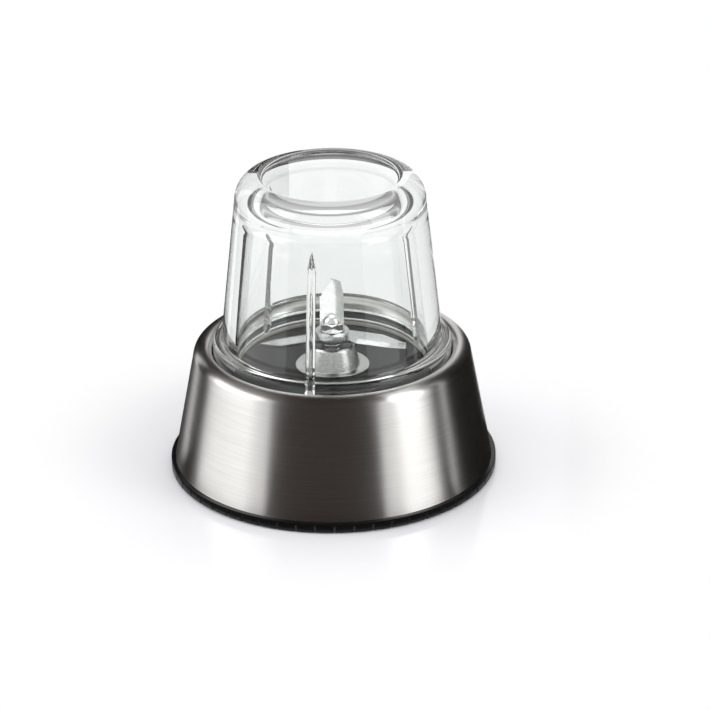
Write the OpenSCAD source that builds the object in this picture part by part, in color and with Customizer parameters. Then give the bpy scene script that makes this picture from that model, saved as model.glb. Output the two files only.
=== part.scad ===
// Electric spice grinder: an upturned glass jar on a low motor base.
// Millimetres, +Z up, origin on the table under the middle of the base, front towards -Y.

/* [Base shell] */
// Diameter of the opening in the top of the base
opening_d = 88; // [84:0.5:100]
// Height of the rim above the table
rim_h = 47.7; // [45:0.1:60]
// Width of the rounded rim between the opening and the skirt
rim_w = 6.8; // [6.2:0.1:9]
// Radius of the shoulder where the skirt turns into the rim
shoulder_r = 4.2; // [3:0.1:5]
// How much wider the skirt is at its foot than at its shoulder
skirt_flare = 7.6; // [6:0.1:12]
// Thickness of the steel
steel_t = 0.8; // [0.5:0.1:1.2]
// Depth of the straight lip that the steel turns down inside the opening
lip_h = 2; // [1:0.1:4]
// Wall of the plastic housing
housing_t = 2; // [1.5:0.1:2.5]

/* [Bottom cover] */
// How far the bottom ring stands out around the steel
ring_step = 1.6; // [0.8:0.1:3]
// Height of the top of the bottom ring above the table
ring_top_h = 3.8; // [3.4:0.1:6]
// Thickness of the cover plate
cover_t = 2.7; // [2.4:0.1:3]
// Number of notches around the ring
notch_count = 54; // [24:1:72]
// Width of a notch
notch_w = 0.8; // [0.5:0.1:1.5]
// Depth of a notch
notch_deep = 0.8; // [0.4:0.1:1.2]
// Height that the feet hold the cover off the table
foot_stand = 0.3; // [0.3:0.1:1.5]
// Diameter of a rubber foot
foot_d = 11; // [8:0.5:12]
// Depth of the pocket that a foot is glued into
foot_pocket = 1.4; // [1:0.1:1.6]
// Number of feet
foot_count = 4; // [3:1:5]
// Number of air slots in the cover
slot_count = 10; // [6:1:16]
// Width of an air slot
slot_w = 2.4; // [1.5:0.1:3]
// Length of an air slot
slot_l = 12; // [6:0.5:14]

/* [Glass jar] */
// Height of the jar's top above the rim of the base
jar_rise = 65.4; // [55:0.1:90]
// How far the glass flange sits below the rim
flange_sink = 3.3; // [2:0.1:5]
// Height of the glass flange
flange_h = 6.1; // [4:0.1:8]
// Radius of the hollow between the flange and the body
flange_fillet = 1.6; // [1:0.1:1.8]
// How far the body stands in from the edge of the flange
body_inset = 3.3; // [3.2:0.1:5]
// How much narrower the body is at its shoulder than at the flange
body_taper = 5.8; // [2:0.1:8]
// Radius of the jar's outer shoulder
jar_shoulder_r = 9; // [6:0.1:11]
// Thickness of the glass wall
glass_t = 4.6; // [3:0.1:5]
// Thickness of the closed end under the dish
glass_end_t = 8.4; // [5:0.1:12]
// Radius inside the closed end
cavity_corner_r = 7; // [3:0.1:9]
// Radius of the rounded crest around the dish
crest_r = 1.4; // [0.8:0.1:2]
// Depth of the dish in the closed end
dish_deep = 1.5; // [1:0.1:4]
// Number of ribs inside the jar
rib_count = 3; // [2:1:6]
// Width of a rib at the wall
rib_w = 3; // [2:0.1:4]
// How far a rib stands out of the wall
rib_out = 2.4; // [1:0.1:3]
// Gap between the top of a rib and the closed end
rib_gap = 6.8; // [2:0.1:20]
// Turn of the first rib from the front, towards the left
rib_turn = 12.5; // [0:0.5:60]
// Length of the neck below the flange
neck_l = 3; // [2:0.1:6]
// Thickness of the neck
neck_t = 4.1; // [3:0.1:5]

/* [Blade carrier] */
// Gap between the opening and what slides in it
socket_gap = 0.5; // [0.3:0.05:0.8]
// Wall of the carrier's collar
collar_t = 3.7; // [3:0.1:5]
// How far the collar reaches below the carrier's floor
collar_drop = 5; // [3:0.1:6]
// Thickness of the carrier's floor
carrier_floor_t = 2.4; // [2.2:0.1:3]
// Thickness of the jar seal
seal_t = 2; // [1.5:0.1:3]
// Thickness of the steel cap on the hub
cap_t = 0.6; // [0.4:0.1:1]
// Height of the bearing hub above the carrier's floor
hub_h = 8.1; // [7:0.1:12]
// Diameter of the bearing hub at its top
hub_d = 15; // [12.5:0.5:20]
// How much wider the hub is at its foot, on each side
hub_flare = 2; // [0:0.1:4]
// Recess for the coupling in the underside of the carrier
coupling_recess = 1.7; // [0.5:0.1:1.8]

/* [Blades] */
// Diameter of the blade shaft
blade_shaft_d = 5; // [4:0.1:6]
// Outer diameter of the carrier's bushings
bushing_d = 9; // [8:0.1:10]
// Length of a carrier bushing
bushing_l = 3; // [2:0.1:3.5]
// Thickness of the shaft's lip seal
lip_seal_t = 1.5; // [1:0.1:2]
// Gap between the hub and the collar of the shaft
hub_gap = 0.5; // [0.3:0.1:1]
// Thickness of the collar on the shaft
shaft_collar_t = 1.2; // [0.8:0.1:2]
// Radius that the blades sweep
blade_sweep_r = 27; // [20:0.5:30]
// Thickness of a blade
blade_t = 1.2; // [0.8:0.1:1.6]
// Width of a blade
blade_w = 9; // [7:0.5:12]
// Bend of the lower blade's wings, downwards
lower_bend = 9; // [0:1:10]
// Bend of the upper blade's wings, upwards
upper_bend = 24; // [0:1:35]
// Thickness of the spacer between the blades
spacer_t = 1; // [0.6:0.1:4]
// Width of the blade nut across its corners
nut_d = 9.2; // [7.5:0.1:11]
// Height of the nut's hexagon
nut_h = 3.4; // [2:0.1:5]

/* [Drive coupling] */
// Travel of the jar when it is pressed down to run the grinder
press_travel = 2; // [1:0.1:2.4]
// Outer diameter of the coupling halves
coupling_d = 20; // [16:0.5:22]
// Inner diameter of the ring of driving teeth
dog_inner_d = 10; // [9.6:0.1:11]
// Height of the driving teeth
dog_h = 4; // [3.6:0.1:5]
// How far the teeth reach into each other at rest
dog_engage = 1.6; // [0.8:0.1:1.7]
// Teeth on each half
dog_count = 3; // [2:1:4]
// Play between neighbouring teeth, in degrees
dog_play = 6; // [3:1:12]
// Thickness of the driving half's disc
drive_disc_t = 1.8; // [1.2:0.1:3]
// Thickness of the driven half's disc
driven_disc_t = 1.5; // [1.2:0.1:3]
// Height of the driving half's hub above its disc
drive_hub_h = 2.6; // [1:0.1:3]

/* [Motor] */
// Diameter of the motor can
can_d = 62; // [50:0.5:66]
// Wall of the motor can
can_t = 1.5; // [1:0.1:2]
// Gap under the motor
motor_gap = 1.2; // [0.5:0.1:2]
// Thickness of the rubber ring over the motor
damper_t = 1; // [0.6:0.1:2]
// Outer diameter of the rubber ring over the motor
damper_d = 46; // [44:0.5:50]
// Diameter of the motor shaft
motor_shaft_d = 5; // [4:0.1:6]
// Outer diameter of the motor bushings
motor_bushing_d = 8; // [7.5:0.1:10]
// Length of a motor bushing
motor_bushing_l = 3; // [2:0.1:4]
// Thickness of a magnet
magnet_t = 5; // [3:0.1:6]
// Angle that a magnet covers
magnet_arc = 130; // [90:5:150]
// Air gap between the armature and the magnets
air_gap = 0.8; // [0.4:0.1:1.5]
// Slots in the armature
armature_slots = 7; // [5:1:9]
// Width of an armature slot
armature_slot_w = 4; // [3:0.1:5]
// Height of the winding heads above and below the core
winding_h = 2; // [1:0.1:2.2]
// Diameter of the commutator
commutator_d = 13; // [11:0.5:15]
// Height of the commutator
commutator_h = 2.8; // [2:0.1:3]
// Width of a carbon brush
brush_w = 3; // [2:0.1:4]
// Height of a carbon brush
brush_h = 2; // [1.5:0.1:2.2]
// Length of a carbon brush
brush_l = 7; // [5:0.5:9]
// Wall of a brush holder
holder_t = 0.5; // [0.3:0.1:0.7]
// Distance that a motor terminal reaches out of the can
terminal_out = 2; // [1:0.1:3]

/* [Interlock] */
// Number of spring pins under the carrier
pin_count = 3; // [3:1:3]
// Diameter of a pin
pin_d = 3.4; // [3:0.1:3.6]
// Diameter of the shoulder on a pin
pin_shoulder_d = 7.4; // [6.8:0.1:8]
// Thickness of the shoulder on a pin
pin_shoulder_t = 2.5; // [1.5:0.1:4]
// Height of a spring seat above the cover plate
seat_h = 6; // [4:0.1:8]
// Wire diameter of a pin spring
spring_wire_d = 0.8; // [0.5:0.1:1]
// Turns of a pin spring
spring_turns = 5; // [3:1:7]
// Distance from the switching pin to the switch's plunger
switch_reach = 11; // [10:0.5:12]
// Length of the switch
switch_l = 14; // [12:0.5:15]
// Thickness of the switch
switch_w = 6.4; // [5:0.1:7]
// Height of the switch
switch_h = 9; // [6:0.5:10]
// Height of the switch's plunger above its body
plunger_h = 4.4; // [3:0.1:5]
// Diameter of the switch's plunger
plunger_d = 3; // [2:0.1:4]

/* [Electrics] */
// Gap between the motor can and the circuit board
board_gap = 4; // [3.4:0.1:6]
// Width of the circuit board
board_w = 24; // [18:0.5:26]
// Height of the circuit board
board_h = 14; // [12:0.5:16]
// Thickness of the circuit board
board_t = 1.6; // [1:0.1:2]
// Length of the capacitor on the board
capacitor_l = 11; // [6:0.5:12]
// Thickness of the capacitor
capacitor_t = 6; // [3:0.5:8]
// Height of the capacitor
capacitor_h = 8; // [5:0.5:9]
// Diameter of a diode
diode_d = 2.8; // [1.8:0.1:3]
// Length of a diode
diode_l = 5; // [3:0.5:7]
// Height of the cord inlet above the table
inlet_z = 13; // [11:0.5:16]
// Bore of the cord inlet
inlet_bore_d = 6.4; // [5:0.1:8]
// Wall of the cord inlet's bush
inlet_wall = 1.6; // [1.2:0.1:2.5]
// Width of the flange of the cord inlet's bush
inlet_flange = 1.8; // [1:0.1:3]
// Diameter of an internal lead
lead_d = 1.6; // [1.2:0.1:1.8]

/* [Fasteners and fits] */
// Number of screws that hold the cover
screw_count = 3; // [3:1:3]
// Diameter of a screw
screw_d = 3; // [2.5:0.1:3.5]
// Diameter of a screw head
screw_head_d = 5.6; // [5:0.1:6.2]
// Height of a screw head
screw_head_h = 1.6; // [1:0.1:1.8]
// Length of a cover screw in its boss
screw_bite = 10; // [6:0.5:14]
// Diameter of a screw boss
boss_d = 8; // [6.5:0.1:8.5]
// Running clearance of a shaft or pin in its bore
run_gap = 0.05; // [0.02:0.01:0.1]
// Clearance of pieces that are pressed or glued together
press_gap = 0.02; // [0.01:0.01:0.05]
// Clearance of pieces that drop into each other
fit_gap = 0.3; // [0.2:0.05:0.4]

/* [Hidden] */
$fn = 96;
eps = 0.01;

// Outline of the skirt
opening_r = opening_d / 2;
shoulder_x = opening_r + rim_w - shoulder_r;
shoulder_z = rim_h - shoulder_r;
lip_r = shoulder_x - opening_r;
foot_x = opening_r + rim_w + skirt_flare;
foot_dx = foot_x - shoulder_x;
foot_dz = ring_top_h - shoulder_z;
// The skirt's slope touches the shoulder at this angle
lean = atan2(foot_dz, foot_dx) + acos(shoulder_r / norm([foot_dx, foot_dz]));
ring_r = foot_x + ring_step;

// Heights of the carrier and the jar, from the rim down
flange_z = rim_h - flange_sink;
collar_top = flange_z - fit_gap;
neck_z = flange_z - neck_l;
carrier_floor_top = neck_z - seal_t;
carrier_floor_z = carrier_floor_top - carrier_floor_t;
collar_z = carrier_floor_z - collar_drop;
hub_top = carrier_floor_top + hub_h;
hub_z = carrier_floor_z + coupling_recess;

// Heights of the coupling and the motor, from the hub down
turn_gap = 0.4;
driven_disc_z = hub_z - turn_gap - driven_disc_t;
driven_dog_z = driven_disc_z - dog_h;
drive_dog_top = driven_dog_z + dog_engage;
drive_disc_top = drive_dog_top - dog_h;
drive_disc_z = drive_disc_top - drive_disc_t;
drip_flange_t = 0.6;
socket_floor_top = drive_disc_z - turn_gap - drip_flange_t;
socket_floor_z = socket_floor_top - housing_t;
can_top = socket_floor_z - damper_t;
cover_top = foot_stand + cover_t;
can_z = cover_top + motor_gap;
end_plate_top = can_z + can_t;
can_roof_z = can_top - can_t;

// Radii of the carrier and the jar, from the opening inwards
collar_r = opening_r - socket_gap;
collar_in_r = collar_r - collar_t;
neck_r = collar_in_r - fit_gap;
neck_in_r = neck_r - neck_t;
pin_ring_r = collar_r - collar_t / 2;
hub_r = hub_d / 2;
hub_foot_r = hub_r + hub_flare;
bushing_r = bushing_d / 2;
blade_shaft_r = blade_shaft_d / 2;
coupling_r = coupling_d / 2;
dog_in_r = dog_inner_d / 2;

// Motor radii
can_r = can_d / 2;
can_in_r = can_r - can_t;
magnet_in_r = can_in_r - magnet_t;
core_r = magnet_in_r - air_gap;
motor_shaft_r = motor_shaft_d / 2;
motor_bushing_r = motor_bushing_d / 2;
commutator_r = commutator_d / 2;
motor_screw_ring_r = (motor_bushing_r + damper_d / 2) / 2 + 1.5;
drip_r = motor_shaft_r + 3.5;

// Heights inside the motor
inner_gap = 0.4;
commutator_z = end_plate_top + 1.6;
winding_z = commutator_z + commutator_h + inner_gap;
core_z = winding_z + winding_h;
core_top = can_roof_z - 1.9 - winding_h;
terminal_z = commutator_z + (commutator_h - brush_h) / 2;
window_top = terminal_z + brush_h + 1;
magnet_z = window_top + inner_gap;
magnet_top = can_roof_z - inner_gap;

// Pins, bosses and the switch
pin_r = pin_d / 2;
pin_turns = [for (i = [0:pin_count - 1]) 90 + i * 360 / pin_count];
boss_turns = [for (i = [0:screw_count - 1]) 30 + i * 360 / screw_count];
screw_r = screw_d / 2;
screw_head_r = screw_head_d / 2;
boss_r = boss_d / 2;
pad_h = 1.8;
pad_top = cover_top + pad_h;
head_pocket = screw_head_h + 0.4;
screw_tip_z = pad_top + screw_bite;
pin_shoulder_top = socket_floor_z - fit_gap;
pin_shoulder_z = pin_shoulder_top - pin_shoulder_t;
seat_top = cover_top + seat_h;
pin_end_z = seat_top - 1;
seat_bore_z = pin_end_z - press_travel - 1;
spring_r = pin_r + 0.3 + spring_wire_d;
plunger_top = pin_shoulder_z;
switch_top = plunger_top - plunger_h;
switch_z = switch_top - switch_h;
switch_x = switch_reach - 4;

// The air slots lie in a ring under the motor
slot_ring_r = 22;
foot_ring_r = ring_r - 11;

// Points of an arc about [x, z], from one angle to another
function arc(x, z, r, from, to, n = 10) = [
    for (i = [0:n]) let (a = from + (to - from) * i / n) [x + r * cos(a), z + r * sin(a)]
];

// Radius of the skirt's outer face at a height
function skirt_r(z) = foot_x - (z - ring_top_h) * tan(lean);

// Outline of a skin that lies a distance d inside the steel's outer face, from foot to lip
function skin_line(d, end_z) = concat(
    [[foot_x - d / cos(lean), ring_top_h]],
    arc(shoulder_x, shoulder_z, shoulder_r - d, lean, 90),
    arc(shoulder_x, rim_h - lip_r, lip_r - d, 90, 180),
    [[opening_r + d, end_z]]
);

function reversed(line) = [for (i = [len(line) - 1:-1:0]) line[i]];

// Copies its children around the middle, at the listed turns
module at_turns(turns, r) {
    for (a = turns) {
        rotate(a) translate([r, 0, 0]) children();
    }
}

// A disc with a round hole, standing on height z
module washer(z, h, r, hole_r) {
    translate([0, 0, z]) {
        difference() {
            cylinder(h = h, r = r);
            translate([0, 0, -1]) cylinder(h = h + 2, r = hole_r);
        }
    }
}

// A ring of teeth from z up to top; each tooth fills half of its pitch, less the play
module dogs(z, top, turn) {
    width = 180 / dog_count - dog_play;
    rim = 0.4;
    for (i = [0:dog_count - 1]) {
        rotate(turn + i * 360 / dog_count) {
            translate([0, 0, z]) {
                rotate_extrude(angle = width) translate([dog_in_r, 0]) {
                    square([coupling_r - dog_in_r - rim, top - z]);
                }
            }
        }
    }
}

function unit(v) = v / norm(v);

// A round wire swept along a path that never runs straight up
module wire(path, r, sides) {
    last = len(path) - 1;
    rings = [
        for (i = [0:last])
            let (along = unit(path[min(i + 1, last)] - path[max(i - 1, 0)]))
            let (side = unit(cross(along, [0, 0, 1])))
            let (up = cross(side, along))
            for (j = [0:sides - 1])
                path[i] + r * (cos(j * 360 / sides) * side + sin(j * 360 / sides) * up)
    ];
    walls = [
        for (i = [0:last - 1], j = [0:sides - 1])
            let (k = (j + 1) % sides, here = i * sides, next = here + sides)
            each [[here + j, here + k, next + k], [here + j, next + k, next + j]]
    ];
    start = [for (j = [sides - 1:-1:0]) j];
    end = [for (j = [0:sides - 1]) last * sides + j];
    polyhedron(rings, concat(walls, [start, end]));
}

// Housing: a cone under the steel, joined at the rim to a well that the carrier slides in
housing_skin = steel_t + fit_gap;
lip_end = rim_h - lip_r - lip_h;
housing_under_z = shoulder_z - 2;
function housing_in_r(z) = skirt_r(z) - (housing_skin + housing_t) / cos(lean);

// A solid cone that follows the skirt, grown by d
module skirt_cone(d, z, h) {
    translate([0, 0, z]) cylinder(h = h, r1 = skirt_r(z) + d, r2 = skirt_r(z + h) + d);
}

inlet_r = inlet_bore_d / 2 + inlet_wall;
inlet_flange_r = inlet_r + inlet_flange;
inlet_flange_t = 1.6;
inlet_in_y = housing_in_r(inlet_z) - 2.6;

// A cylinder along +Y at the height of the cord inlet
module inlet_rod(r, from, to) {
    translate([0, from, inlet_z]) rotate([-90, 0, 0]) cylinder(h = to - from, r = r);
}

board_x = can_r + board_gap;
post = 4;
post_h = 8;
slip = 0.1;

module board_posts() {
    for (side = [-1, 1]) {
        translate([board_x - 1.2, side * (board_w / 2 + 0.5) - post / 2, cover_top - eps]) {
            cube([board_t + 2.4, post, post_h]);
        }
    }
}

module switch_stand() {
    for (x = [switch_x + 1, switch_x + switch_l - 4]) {
        translate([x, pin_ring_r - switch_w / 2, cover_top - eps]) {
            cube([3, switch_w, switch_z - cover_top + eps]);
        }
    }
}

module bottom_cover() {
    ledge_r = housing_in_r(ring_top_h);
    locator_h = 2;
    locator_r = housing_in_r(ring_top_h + locator_h) - fit_gap;
    chamfer = 0.3;
    color("#1c1c1e") difference() {
        union() {
            rotate_extrude() polygon([
                [0, foot_stand], [ring_r - chamfer, foot_stand], [ring_r, foot_stand + chamfer],
                [ring_r, ring_top_h - chamfer / 2], [ring_r - chamfer / 2, ring_top_h],
                [ledge_r, ring_top_h], [ledge_r, cover_top], [0, cover_top]
            ]);
            difference() {
                translate([0, 0, cover_top - eps]) {
                    cylinder(h = ring_top_h + locator_h - cover_top, r = locator_r);
                }
                translate([0, 0, cover_top - 1]) cylinder(h = ring_top_h + locator_h, r = locator_r - 1.4);
            }
            at_turns(boss_turns, pin_ring_r) {
                translate([0, 0, cover_top - eps]) cylinder(h = pad_h + eps, r = boss_r);
            }
            at_turns(pin_turns, pin_ring_r) {
                translate([0, 0, cover_top - eps]) cylinder(h = seat_h + eps, r = pin_shoulder_d / 2);
            }
            board_posts();
            switch_stand();
        }
        for (i = [0:notch_count - 1]) {
            rotate((i + 0.5) * 360 / notch_count) {
                translate([ring_r - notch_deep, -notch_w / 2, foot_stand - 1]) {
                    cube([notch_deep + 1, notch_w, ring_top_h - foot_stand + 0.2]);
                }
            }
        }
        for (i = [0:slot_count - 1]) {
            rotate((i + 0.5) * 360 / slot_count) {
                translate([slot_ring_r - slot_l / 2, -slot_w / 2, foot_stand - 1]) {
                    cube([slot_l, slot_w, cover_t + 2]);
                }
            }
        }
        at_turns([for (i = [0:foot_count - 1]) 45 + i * 360 / foot_count], foot_ring_r) {
            translate([0, 0, foot_stand - 1]) cylinder(h = foot_pocket + 1, r = foot_d / 2 + press_gap);
        }
        at_turns(boss_turns, pin_ring_r) {
            translate([0, 0, foot_stand - 1]) cylinder(h = head_pocket + 1, r = screw_head_r + slip);
            cylinder(h = pad_top + 1, r = screw_r + slip);
        }
        at_turns(pin_turns, pin_ring_r) {
            translate([0, 0, seat_bore_z]) cylinder(h = seat_top, r = pin_r + slip);
        }
        translate([board_x - slip, -board_w / 2 - slip, cover_top]) {
            cube([board_t + 2 * slip, board_w + 2 * slip, post_h + 1]);
        }
    }
}

module rubber_feet() {
    color("#2a2a2c") at_turns([for (i = [0:foot_count - 1]) 45 + i * 360 / foot_count], foot_ring_r) {
        cylinder(h = foot_stand + foot_pocket, r = foot_d / 2);
    }
}

module cover_screws() {
    color("#b9bcc0") at_turns(boss_turns, pin_ring_r) {
        difference() {
            union() {
                translate([0, 0, foot_stand + head_pocket - screw_head_h]) {
                    cylinder(h = screw_head_h, r = screw_head_r);
                }
                translate([0, 0, foot_stand + head_pocket - eps]) {
                    cylinder(h = screw_tip_z - foot_stand - head_pocket, r = screw_r);
                }
            }
            for (turn = [0, 90]) {
                rotate(turn) translate([-screw_head_r * 0.6, -0.4, 0]) {
                    cube([screw_head_r * 1.2, 0.8, foot_stand + head_pocket - screw_head_h + 0.8]);
                }
            }
        }
    }
}

module inner_housing() {
    color("#232325") difference() {
        union() {
            rotate_extrude() polygon(concat(
                skin_line(housing_skin, lip_end - fit_gap),
                [
                    [opening_r, lip_end - fit_gap], [opening_r, socket_floor_top],
                    [drip_r + press_gap, socket_floor_top], [drip_r + press_gap, socket_floor_z],
                    [opening_r + housing_t, socket_floor_z], [opening_r + housing_t, housing_under_z],
                    [housing_in_r(housing_under_z), housing_under_z], [housing_in_r(ring_top_h), ring_top_h]
                ]
            ));
            at_turns(boss_turns, pin_ring_r) {
                translate([0, 0, pad_top]) cylinder(h = socket_floor_top - pad_top - 1, r = boss_r);
            }
        }
        at_turns(boss_turns, pin_ring_r) {
            translate([0, 0, pad_top - 1]) cylinder(h = screw_bite + 2, r = screw_r + press_gap);
        }
        at_turns(pin_turns, pin_ring_r) {
            translate([0, 0, socket_floor_z - 1]) cylinder(h = housing_t + 2, r = pin_r + run_gap);
        }
        at_turns(boss_turns, motor_screw_ring_r) {
            translate([0, 0, socket_floor_z - 1]) cylinder(h = housing_t + 2, r = screw_r + slip);
        }
        inlet_rod(inlet_r + press_gap, inlet_in_y - 2, ring_r);
    }
}

module steel_skirt() {
    color("#c9cacb") difference() {
        rotate_extrude() polygon(concat(skin_line(0, lip_end), reversed(skin_line(steel_t, lip_end))));
        inlet_rod(inlet_r + press_gap, inlet_in_y, ring_r);
    }
}

module cord_inlet() {
    color("#1e1e20") difference() {
        union() {
            inlet_rod(inlet_r, inlet_in_y, skirt_r(inlet_z) + inlet_flange_t);
            difference() {
                inlet_rod(inlet_flange_r, inlet_in_y, skirt_r(inlet_z) + inlet_flange_t);
                skirt_cone(press_gap, ring_top_h, shoulder_z - ring_top_h);
            }
            intersection() {
                inlet_rod(inlet_r + 1, inlet_in_y, ring_r);
                skirt_cone(
                    -(housing_skin + housing_t) / cos(lean) - press_gap, ring_top_h, shoulder_z - ring_top_h
                );
            }
        }
        inlet_rod(inlet_bore_d / 2, inlet_in_y - 1, ring_r + 5);
    }
}

module motor_can() {
    window_w = brush_w + 3;
    color("#8f9296") difference() {
        translate([0, 0, can_z]) cylinder(h = can_top - can_z, r = can_r);
        translate([0, 0, can_z - 1]) cylinder(h = can_roof_z - can_z + 1, r = can_in_r);
        cylinder(h = can_top + 1, r = motor_bushing_r + press_gap);
        at_turns(boss_turns, motor_screw_ring_r) cylinder(h = can_top + 1, r = screw_r + press_gap);
        for (turn = [0, 180]) {
            rotate(turn) translate([can_in_r - 1, -window_w / 2, terminal_z - 0.8]) {
                cube([can_t + 2, window_w, window_top - terminal_z + 0.8]);
            }
        }
    }
}

module motor_end_plate() {
    block_top = terminal_z - run_gap - holder_t;
    block_x = commutator_r + 2;
    color("#5a4632") union() {
        washer(can_z, can_t, can_in_r - press_gap, motor_bushing_r + press_gap);
        for (turn = [0, 180]) {
            rotate(turn) translate([block_x, -brush_w / 2 - holder_t, end_plate_top - eps]) {
                cube([brush_l, brush_w + 2 * holder_t, block_top - end_plate_top + eps]);
            }
        }
    }
}

module motor_magnets() {
    color("#3b3b3f") for (turn = [90, 270]) {
        rotate(turn - magnet_arc / 2) translate([0, 0, magnet_z]) {
            rotate_extrude(angle = magnet_arc) {
                translate([magnet_in_r, 0]) square([magnet_t - press_gap, magnet_top - magnet_z]);
            }
        }
    }
}

module motor_bushings() {
    color("#b08d57") union() {
        washer(can_z, motor_bushing_l, motor_bushing_r, motor_shaft_r + run_gap);
        washer(can_top - motor_bushing_l, motor_bushing_l, motor_bushing_r, motor_shaft_r + run_gap);
    }
}

module brush_holders() {
    strip_t = 0.8;
    inner_x = commutator_r + 1;
    holder_l = brush_l + 2;
    holder_w = brush_w + 2 * (run_gap + holder_t);
    color("#c9a24a") for (turn = [0, 180]) {
        rotate(turn) difference() {
            union() {
                translate([inner_x, -holder_w / 2, terminal_z - run_gap - holder_t]) {
                    cube([holder_l, holder_w, brush_h + 2 * (run_gap + holder_t)]);
                }
                translate([inner_x + holder_l - 1, -1.5, terminal_z]) {
                    cube([can_r + terminal_out - inner_x - holder_l + 1, 3, strip_t]);
                }
            }
            translate([inner_x - 1, -brush_w / 2 - run_gap, terminal_z - run_gap]) {
                cube([brush_l + 2, brush_w + 2 * run_gap, brush_h + 2 * run_gap]);
            }
        }
    }
}

module carbon_brushes() {
    color("#2f2f31") for (turn = [0, 180]) {
        rotate(turn) difference() {
            translate([commutator_r - 1, -brush_w / 2, terminal_z]) cube([brush_l + 1, brush_w, brush_h]);
            translate([0, 0, terminal_z - 1]) cylinder(h = brush_h + 2, r = commutator_r + run_gap);
        }
    }
}

module motor_screws() {
    slot = 0.8;
    slot_z = socket_floor_top + screw_head_h - slot;
    color("#b9bcc0") at_turns(boss_turns, motor_screw_ring_r) {
        difference() {
            union() {
                translate([0, 0, socket_floor_top]) cylinder(h = screw_head_h, r = screw_head_r);
                translate([0, 0, can_roof_z - inner_gap]) {
                    cylinder(h = socket_floor_top - can_roof_z + inner_gap + eps, r = screw_r);
                }
            }
            for (turn = [0, 90]) {
                rotate(turn) translate([-screw_head_r * 0.6, -slot / 2, slot_z]) {
                    cube([screw_head_r * 1.2, slot, 2 * slot]);
                }
            }
        }
    }
}

module damper_ring() {
    color("#2c2c2e") difference() {
        washer(can_top, damper_t, damper_d / 2, drip_r);
        at_turns(boss_turns, motor_screw_ring_r) {
            translate([0, 0, can_top - 1]) cylinder(h = damper_t + 2, r = screw_r + slip);
        }
    }
}

module drip_seal() {
    color("#3a3a3c") union() {
        washer(socket_floor_z, housing_t, drip_r, motor_shaft_r + run_gap);
        washer(socket_floor_top, drip_flange_t, drip_r + 2, motor_shaft_r + run_gap);
    }
}

tab_l = 2.4;
tab_t = 0.5;
tab_w = 2;
tab_x = switch_x + switch_l;
tab_low_z = switch_z + tab_w;
tab_high_z = switch_z + switch_h - 1.5 * tab_w;

module micro_switch() {
    color("#26262a") difference() {
        union() {
            translate([switch_x, pin_ring_r - switch_w / 2, switch_z]) cube([switch_l, switch_w, switch_h]);
            for (z = [tab_low_z, tab_high_z]) {
                translate([tab_x - eps, pin_ring_r - tab_w / 2, z]) cube([tab_l, tab_w, tab_t]);
            }
        }
        translate([switch_reach, pin_ring_r, switch_top - 3 - press_travel - 0.5]) {
            cylinder(h = switch_h, r = plunger_d / 2 + run_gap);
        }
    }
}

module circuit_board() {
    color("#2f6b3f") translate([board_x, -board_w / 2, cover_top]) cube([board_t, board_w, board_h]);
}

// A suppression capacitor and four diodes on the outer face of the board
module board_parts() {
    face = board_x + board_t;
    margin = 2;
    diode_r = diode_d / 2;
    diode_pitch = diode_d + 0.4;
    diode_y = board_w / 2 - diode_l - 1.75 * margin;
    color("#c7a23c") union() {
        translate([face, -board_w / 2 + margin, cover_top + board_h - capacitor_h - 1]) {
            cube([capacitor_t, capacitor_l, capacitor_h]);
        }
        for (i = [0:3]) {
            translate([face + diode_r, diode_y, cover_top + margin + i * diode_pitch]) {
                rotate([-90, 0, 0]) cylinder(h = diode_l, r = diode_r);
            }
        }
    }
}

lead_r = lead_d / 2;
// The leads run around outside the bosses
lead_ring_r = pin_ring_r + boss_r + lead_d + 1;

module lead_wires() {
    sides = 8;
    start_x = inlet_bore_d / 2 + lead_r + slip;
    start_y = inlet_in_y - lead_r / 2;
    seat_y = pin_ring_r + pin_shoulder_d / 2;
    // Height of a lead's middle over the tab that it is joined to
    on_tab = tab_t + lead_r + slip;
    // From the inlet to the lower tab of the switch
    to_switch = concat(
        [[start_x, start_y, inlet_z], [start_x + 0.6, start_y - 1.4, inlet_z], [7, seat_y + 3, inlet_z]],
        [[tab_x / 2, seat_y + 2, inlet_z], [tab_x - 1, seat_y + 1, inlet_z - 0.2]],
        [[tab_x + 3, pin_ring_r + 2.8, tab_low_z + 1.4], [tab_x + 1.2, pin_ring_r, tab_low_z + on_tab]]
    );
    // From the inlet around the left side to the far terminal of the motor
    to_motor = concat(
        [[-start_x, start_y, inlet_z], [-start_x - 0.6, start_y - 1.4, inlet_z]],
        [for (a = [100:6:166]) [lead_ring_r * cos(a), lead_ring_r * sin(a), inlet_z - 1]],
        [
            [-lead_ring_r + 2, 6, terminal_z + 3.5], [-can_r - 6, 3, terminal_z + 2.4],
            [-can_r - 1.2, 0, terminal_z + 0.8 + lead_r + slip]
        ]
    );
    // From the upper tab of the switch around the right side to the board
    to_board = concat(
        [[tab_x + 1.2, pin_ring_r, tab_high_z + on_tab], [tab_x + 4.5, pin_ring_r - 1, tab_high_z + 1]],
        [for (a = [50:-6:20]) [lead_ring_r * cos(a), lead_ring_r * sin(a), tab_high_z]],
        [[board_x + board_t + 5, 12, tab_high_z - 1], [board_x + board_t + 1.2, 10.5, tab_high_z - 1.6]]
    );
    // From the inner face of the board to the near terminal of the motor
    to_terminal = [
        [board_x - lead_r - slip, -9, terminal_z + 4], [board_x - lead_r - 0.8, -7, terminal_z + 3.6],
        [can_r + 2, -4, terminal_z + 2.8], [can_r + 1.2, -1, terminal_z + 0.8 + lead_r + slip]
    ];
    color("#7a1f1f") {
        wire(to_switch, lead_r, sides);
        wire(to_motor, lead_r, sides);
        wire(to_board, lead_r, sides);
        wire(to_terminal, lead_r, sides);
    }
}

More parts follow.
